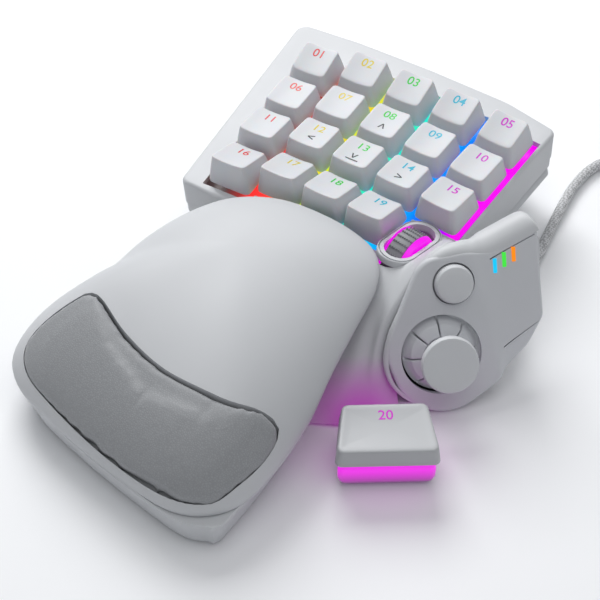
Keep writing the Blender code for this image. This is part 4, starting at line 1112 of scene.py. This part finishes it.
def build_stick():
    """Segmented eight-way pad and thumbstick."""
    sector = start("circle", "sector", vertices=6, fill_type="NGON")
    for vertex, (r, z) in zip(sector.data.vertices,
                              ((6.4, -4.0), (12.9, -4.0), (12.9, -2.6), (11.9, -2.1), (10.4, 0.6),
                               (6.4, 1.8))):
        vertex.co = (r, 0, z)
    with editing(sector):
        bpy.ops.mesh.spin(steps=8, angle=math.radians(42.0), center=(0, 0, 0), axis=(0, 0, 1))
    tidy_normals(sector)
    apply_modifier(sector, "BEVEL", width=0.35, segments=3, limit_method="ANGLE",
                   angle_limit=math.radians(40))
    ring = [copy_of(sector, "sector", Matrix.Rotation(math.tau * (k + 0.03) / 8, 4, "Z"))
            for k in range(8)]
    bpy.data.objects.remove(sector)
    floor = turned("pad_floor", [(0.0, -2.6), (12.8, -2.6), (12.8, -4.0), (0.0, -4.0)], 64)
    pad = joined([floor] + ring, "pad_skin")
    settle(pad, face_place(), finish("face"), "stick", (), 40)
    stick = turned("stick_skin", [(0.0, 13.25), (6.5, 13.3), (8.4, 13.55), (9.1, 13.4), (9.5, 12.8),
                                  (9.5, 11.2), (9.1, 10.4), (8.0, 10.0), (5.4, 9.4), (4.4, 8.0),
                                  (4.2, 3.0), (5.6, 0.6), (7.0, -0.6), (7.2, -2.9), (0.0, -2.9)], 72)
    settle(stick, face_place(), finish("grip"), "stick", ("thumbstick",), 40)


STATUS_AT = ((20.0, 27.6), (23.3, 29.2), (26.6, 30.6))
HOUSING_OUTLINE = ((9.0, 33.4, 8.0), (1.5, 31.0, 5.6), (-3.0, 20.5, 6.0), (6.0, 9.0, 8.0),
                   (13.0, -3.0, 11.0), (18.6, -11.4, 9.0), (28.2, -4.2, 11.0), (34.6, 6.0, 12.6),
                   (35.4, 20.0, 13.2), (34.8, 36.4, 13.0), (17.0, 31.4, 11.0))
# Front edge of the roll over the wing and the round end: place on the face and radius of the roll.
ROLL = ((35.4, 38.2, 3.4), (34.9, 38.0, 5.2), (33.6, 37.45, 6.2), (31.0, 36.4, 6.5), (25.0, 34.0, 6.5),
        (20.0, 32.2, 6.4), (16.0, 31.4, 6.0), (12.6, 31.6, 5.2), (9.6, 32.4, 4.3), (6.4, 32.6, 3.6),
        (3.0, 32.2, 3.0), (0.0, 31.0, 2.5), (-2.8, 28.8, 2.2), (-5.2, 25.6, 1.9), (-8.6, 20.4, 1.7),
        (-12.6, 14.0, 1.5), (-16.0, 8.0, 1.3),
        (-18.3, 1.0, 1.1), (-18.2, -4.4, 0.9), (-16.6, -9.0, 0.7), (-13.4, -13.2, 0.5),
        (-9.0, -16.6, 0.3))


def build_wing():
    """Roll that runs along the top of the wing and thins out round the face."""
    dense = curved([Vector(point) for point in ROLL], 4)
    rings = []
    for i, point in enumerate(dense):
        run = (dense[min(i + 1, len(dense) - 1)] - dense[max(i - 1, 0)]).xy.normalized()
        out = Vector((run.y, -run.x))
        radius = point.z
        level = -0.25 + 0.9 * face_bend(point.x, point.y)
        ring = [(point.xy - out * 0.6, 0.0), (point.xy - out * 0.6, -2 * radius)]
        for k in range(19):
            angle = -math.pi / 2 + math.pi * k / 18
            ring.append((point.xy + out * (radius * math.cos(angle) + 0.1),
                         radius * (math.sin(angle) - 1)))
        rings.append([Vector((place.x, place.y, level + height)) for place, height in ring])
    bar = loft("wing_roll", rings)
    settle(bar, face_place(), finish("shell"), "base", ("wing_bar",), 50)


def build_thumb_key():
    """Wide thumb key with its number, on its lit base."""
    turn = Matrix.Rotation(THUMB_KEY_TURN, 3, "Z")

    def ring(grow, z, corner=2.0, dish=0.0):
        corners = [(-15.3, -8.8), (15.3, -8.8), (12.8, 8.8), (-12.8, 8.8)]
        out = rounded([(x + (grow if x > 0 else -grow), y + (grow if y > 0 else -grow), corner)
                       for x, y in corners], 6)
        return [(p.x, p.y, z - dish * (1 - (p.y / 9) ** 2)) for p in out]

    top = THUMB_KEY_TOP
    surface = ring(0.1, top, 1.6)
    rings = [[(x * s, y * s, top - 0.5 * (1 - (y * s / 8.0) ** 2)) for x, y, z in surface]
             for s in (0.2, 0.4, 0.6, 0.8, 0.93)]
    rings += [ring(0.9 - inset, top - drop, 2.2 - inset * 0.5) for inset, drop in edge_profile(0.8, 4)]
    rings += [ring(1.1, top - 2.2), ring(1.4, top - 4.6), ring(1.6, top - 6.3), ring(1.5, top - 6.6),
              ring(0.6, top - 6.6), ring(-0.4, top - 3.4), ring(-3.0, top - 2.6)]
    cap = loft("cap_20", rings)
    settle(cap, at(THUMB_KEY_AT, turn), finish("thumb_cap"), "thumb_key", ("keycap_20",), 35)
    digits = lettering("20", 5.0)
    shape(digits, lambda co: Vector((co.x, co.y + 5.0,
                                     top + 0.04 - 0.5 * (1 - ((co.y + 5.0) / 8.0) ** 2))))
    digits.name = "number_20"
    settle(digits, at(THUMB_KEY_AT, turn), ink("magenta", colours().magenta), "thumb_key")
    base = loft("thumb_lamp", [ring(-5.0, top - 5.4), ring(-2.2, top - 5.4), ring(-1.2, top - 7.2),
                               ring(0.2, top - 9.6), ring(0.7, top - 11.4), ring(0.7, 4.6),
                               ring(0.2, 2.6), ring(-0.6, 1.3), ring(-5.0, 1.3)])
    settle(base, at(THUMB_KEY_AT, turn), finish("lamp"), "base", ("thumb_key_base",), 35)


def cable_path():
    """Centreline of the cable: its route, the stored coil and the tail to the plug."""
    line = resampled(curved([Vector(p) for p in CABLE_ROUTE], 8), 40)
    steps = 24
    total = round(COIL_TURNS * steps)
    coil = []
    for k in range(1, total + 1):
        share = COIL_LAYERS * k / total
        layer, part = min(int(share), COIL_LAYERS - 1), share - min(int(share), COIL_LAYERS - 1)
        inward = part if layer % 2 == 0 else 1 - part
        radius = COIL_OUTER_TURN + (COIL_INNER_TURN - COIL_OUTER_TURN) * inward
        rise = min(1.0, max(0.0, (part - 0.94) / 0.06)) if layer < COIL_LAYERS - 1 else 0.0
        height = CABLE_DIAMETER / 2 + 0.2 + (CABLE_DIAMETER * 0.98) * (layer + rise)
        angle = -math.pi / 2 + math.tau * COIL_TURNS * k / total
        coil.append(Vector((COIL_CENTRE.x + radius * math.cos(angle),
                            COIL_CENTRE.y + radius * math.sin(angle), height)))
    end = curved([coil[-1]] + [Vector(p) for p in CABLE_TAIL], 4)[1:]
    entry = Vector((COIL_CENTRE.x - 4.0, COIL_CENTRE.y - COIL_OUTER_TURN, 2.2))
    return [(p + SHIFT) * MM for p in line + [entry] + coil + end]


def build_cable():
    """Braided cable with its strain relief, coil and plug."""
    path = cable_path()
    curve = bpy.data.curves.new("braided_cable", "CURVE")
    curve.dimensions = "3D"
    curve.bevel_depth = CABLE_DIAMETER / 2 * MM
    curve.bevel_resolution = 3
    curve.use_fill_caps = True
    spline = curve.splines.new("POLY")
    spline.points.add(len(path) - 1)
    for point, place in zip(spline.points, path):
        point.co = (*place, 1.0)
    spline.use_smooth = True
    cable = bpy.data.objects.new("braided_cable", curve)
    bpy.context.collection.objects.link(cable)
    curve.materials.append(finish("braid"))
    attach(cable, "base")
    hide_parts("cable", "cable_coil")

    turn = Matrix.Rotation(math.pi, 4, "Z") @ Matrix.Rotation(math.radians(90), 4, "Y")
    rings = []
    for half_x, half_y, z in ((1.9, 1.9, -21.0), (2.3, 2.3, -20.6), (2.4, 2.5, -17.0), (2.7, 3.0, -13.6),
                              (3.2, 4.4, -10.5), (3.8, 6.2, -7.5), (4.0, 7.0, -4.5), (4.0, 7.0, 10.6),
                              (3.9, 6.9, 11.6), (3.4, 6.4, 12.0)):
        rings.append([(p.x, p.y, z) for p in squircle(half_x, half_y, 3.4)])
    grip = loft("plug_grip_skin", list(reversed(rings)))
    settle(grip, at(PLUG_AT) @ turn, finish("grip"), "base", ("usb_plug_grip",), 40)
    start_at, beyond = Vector(CABLE_ROUTE[0]), Vector(CABLE_ROUTE[1])
    aim = (beyond - start_at).to_track_quat("Z", "Y").to_matrix()
    profile = [(0.0, -17.0), (3.6, -17.0), (3.6, -15.5)]
    for k in range(6):
        z = -14.5 + 2.4 * k
        r = 3.5 - 0.16 * k
        profile += [(r, z), (r, z + 1.5), (r - 0.55, z + 1.7), (r - 0.55, z + 2.2)]
    profile += [(2.55, -0.4), (2.1, -0.3), (0.0, -0.3)]
    relief = turned("relief_skin", profile, 32)
    settle(relief, at(start_at, aim), finish("grip"), "base", ("strain_relief",), 35)
    tuple(path[0])


CARRIED = {"dome_sheet": "silicone", "key_guide_frame": "rainbow",
           "main_board": "board", "foot_rear_left": "rubber", "foot_rear_right": "rubber",
           "foot_waist": "rubber", "foot_palm": "rubber", "palm_rail_left": "steel",
           "palm_rail_right": "steel", "screw_rear": "steel", "screw_waist": "steel",
           "thumb_pad_cup": "dark",
           # The waist's side wall has the same painted magenta glow.
           "waist_floor": "shell", "waist_side_wall": "shell_with_painted_glow", "stick_gimbal_ring": "steel",
           "wheel_carrier": "dark", "wheel_axle": "steel", "usb_plug_shell": "steel"}


def dress_frame():
    """Give every carried-over CAD node its finish."""
    for name, kind in CARRIED.items():
        obj = bpy.data.objects.get(name)
        if obj is None:
            raise RuntimeError(f"no node {name}")
        material = finish(kind)
        if not obj.material_slots:
            obj.data.materials.append(material)
        for held in obj.material_slots:
            held.material = material


def build_stage():
    """Camera, soft lamps and a pale floor."""
    scene = bpy.context.scene
    camera = bpy.data.cameras.new("camera")
    camera.sensor_width, camera.lens = 36.0, sizes().lens
    camera.clip_start, camera.clip_end = 0.01, 10.0
    eye = bpy.data.objects.new("camera", camera)
    scene.collection.objects.link(eye)
    seen_from = (Vector((176.6, -289.4, 379.0)) + SHIFT) * MM
    target = (Vector((-19.4, 13.6, -14.0)) + SHIFT) * MM
    eye.location = seen_from
    eye.rotation_euler = (target - seen_from).to_track_quat("-Z", "Y").to_euler()
    scene.camera = eye
    floor = start("plane", "floor", size=4.0)
    floor.data.materials.append(finish("floor"))
    for name, place, energy, size in (("key_lamp", (-0.55, 0.5, 0.75), 9.0, 0.6),
                                      ("fill_lamp", (0.2, -0.1, 1.1), 3.4, 1.0)):
        lamp = bpy.data.lights.new(name, "AREA")
        lamp.energy, lamp.size = energy, size
        obj = bpy.data.objects.new(name, lamp)
        obj.location = place
        obj.rotation_euler = (-Vector(place)).to_track_quat("-Z", "Y").to_euler()
        scene.collection.objects.link(obj)
    world = bpy.data.worlds.new("studio")
    world.use_nodes = True
    world.node_tree.nodes["Background"].inputs["Color"].default_value = (0.95, 0.97, 1.0, 1)
    world.node_tree.nodes["Background"].inputs["Strength"].default_value = 0.33
    scene.view_settings.view_transform = "Standard"
    scene.world = world


# ---------------------------------------------------------------- operators


class KEYPAD_OT_stage(bpy.types.Operator):
    """Set the camera, the lamps and the floor"""

    bl_idname = "keypad.stage"
    bl_label = "Stage"
    bl_options = {"REGISTER", "UNDO"}

    def execute(self, context):
        build_stage()
        return {"FINISHED"}


class KEYPAD_OT_cable(bpy.types.Operator):
    """Build the cable with its strain relief, coil and plug"""

    bl_idname = "keypad.cable"
    bl_label = "Cable"
    bl_options = {"REGISTER", "UNDO"}

    def execute(self, context):
        build_cable()
        return {"FINISHED"}


class KEYPAD_OT_deck(bpy.types.Operator):
    """Build the deck cover, the tray and the pedestal"""

    bl_idname = "keypad.deck"
    bl_label = "Deck"
    bl_options = {"REGISTER", "UNDO"}

    def execute(self, context):
        build_deck()
        return {"FINISHED"}


class KEYPAD_OT_keys(bpy.types.Operator):
    """Build the nineteen caps with their numbers and marks"""

    bl_idname = "keypad.keys"
    bl_label = "Keys"
    bl_options = {"REGISTER", "UNDO"}

    def execute(self, context):
        build_keys()
        return {"FINISHED"}


class KEYPAD_OT_waist(bpy.types.Operator):
    """Build the curved cover beside the palm rest"""

    bl_idname = "keypad.waist"
    bl_label = "Waist"
    bl_options = {"REGISTER", "UNDO"}

    def execute(self, context):
        build_waist()
        return {"FINISHED"}


class KEYPAD_OT_wheel(bpy.types.Operator):
    """Build the wheel with its bezel and lit rims"""

    bl_idname = "keypad.wheel"
    bl_label = "Wheel"
    bl_options = {"REGISTER", "UNDO"}

    def execute(self, context):
        build_wheel()
        return {"FINISHED"}


class KEYPAD_OT_thumb_face(bpy.types.Operator):
    """Build the thumb face, its lights, button and housing"""

    bl_idname = "keypad.thumb_face"
    bl_label = "Thumb face"
    bl_options = {"REGISTER", "UNDO"}

    def execute(self, context):
        build_thumb_face()
        return {"FINISHED"}


class KEYPAD_OT_stick(bpy.types.Operator):
    """Build the eight-way pad and the thumbstick"""

    bl_idname = "keypad.stick"
    bl_label = "Thumbstick"
    bl_options = {"REGISTER", "UNDO"}

    def execute(self, context):
        build_stick()
        return {"FINISHED"}


class KEYPAD_OT_wing(bpy.types.Operator):
    """Build the roll along the wing"""

    bl_idname = "keypad.wing"
    bl_label = "Wing"
    bl_options = {"REGISTER", "UNDO"}

    def execute(self, context):
        build_wing()
        return {"FINISHED"}


class KEYPAD_OT_thumb_key(bpy.types.Operator):
    """Build the wide thumb key on its lit base"""

    bl_idname = "keypad.thumb_key"
    bl_label = "Thumb key"
    bl_options = {"REGISTER", "UNDO"}

    def execute(self, context):
        build_thumb_key()
        return {"FINISHED"}


class KEYPAD_OT_palm_rest(bpy.types.Operator):
    """Build the palm shell, its padded cushion and its base"""

    bl_idname = "keypad.palm_rest"
    bl_label = "Palm rest"
    bl_options = {"REGISTER", "UNDO"}

    def execute(self, context):
        build_palm_rest()
        return {"FINISHED"}


class KEYPAD_OT_frame_finishes(bpy.types.Operator):
    """Give the carried-over solids their finishes"""

    bl_idname = "keypad.frame_finishes"
    bl_label = "Finishes"
    bl_options = {"REGISTER", "UNDO"}

    def execute(self, context):
        dress_frame()
        return {"FINISHED"}


OPERATORS = (KEYPAD_OT_stage, KEYPAD_OT_cable, KEYPAD_OT_deck, KEYPAD_OT_keys, KEYPAD_OT_waist,
             KEYPAD_OT_wheel, KEYPAD_OT_thumb_face, KEYPAD_OT_stick, KEYPAD_OT_wing, KEYPAD_OT_thumb_key,
             KEYPAD_OT_palm_rest, KEYPAD_OT_frame_finishes)


class KEYPAD_PT_sidebar(bpy.types.Panel):
    """Lists the pieces and their sizes."""

    bl_label = "Keypad"
    bl_space_type = "VIEW_3D"
    bl_region_type = "UI"
    bl_category = "Keypad"

    def draw(self, context):
        for held in (context.scene.keypad_sizes, context.scene.keypad_colours):
            for key in held.__annotations__:
                self.layout.prop(held, key)
        for step in OPERATORS:
            self.layout.operator(step.bl_idname)


CLASSES = (KeypadSizes, KeypadColours, *OPERATORS, KEYPAD_PT_sidebar)


def register():
    for cls in CLASSES:
        bpy.utils.register_class(cls)
    bpy.types.Scene.keypad_sizes = PointerProperty(type=KeypadSizes)
    bpy.types.Scene.keypad_colours = PointerProperty(type=KeypadColours)


def unregister():
    del bpy.types.Scene.keypad_sizes
    del bpy.types.Scene.keypad_colours
    for cls in reversed(CLASSES):
        bpy.utils.unregister_class(cls)


def main():
    register()
    for step in OPERATORS:
        getattr(bpy.ops.keypad, step.bl_idname.split(".")[1])()


if __name__ == "__main__":
    main()
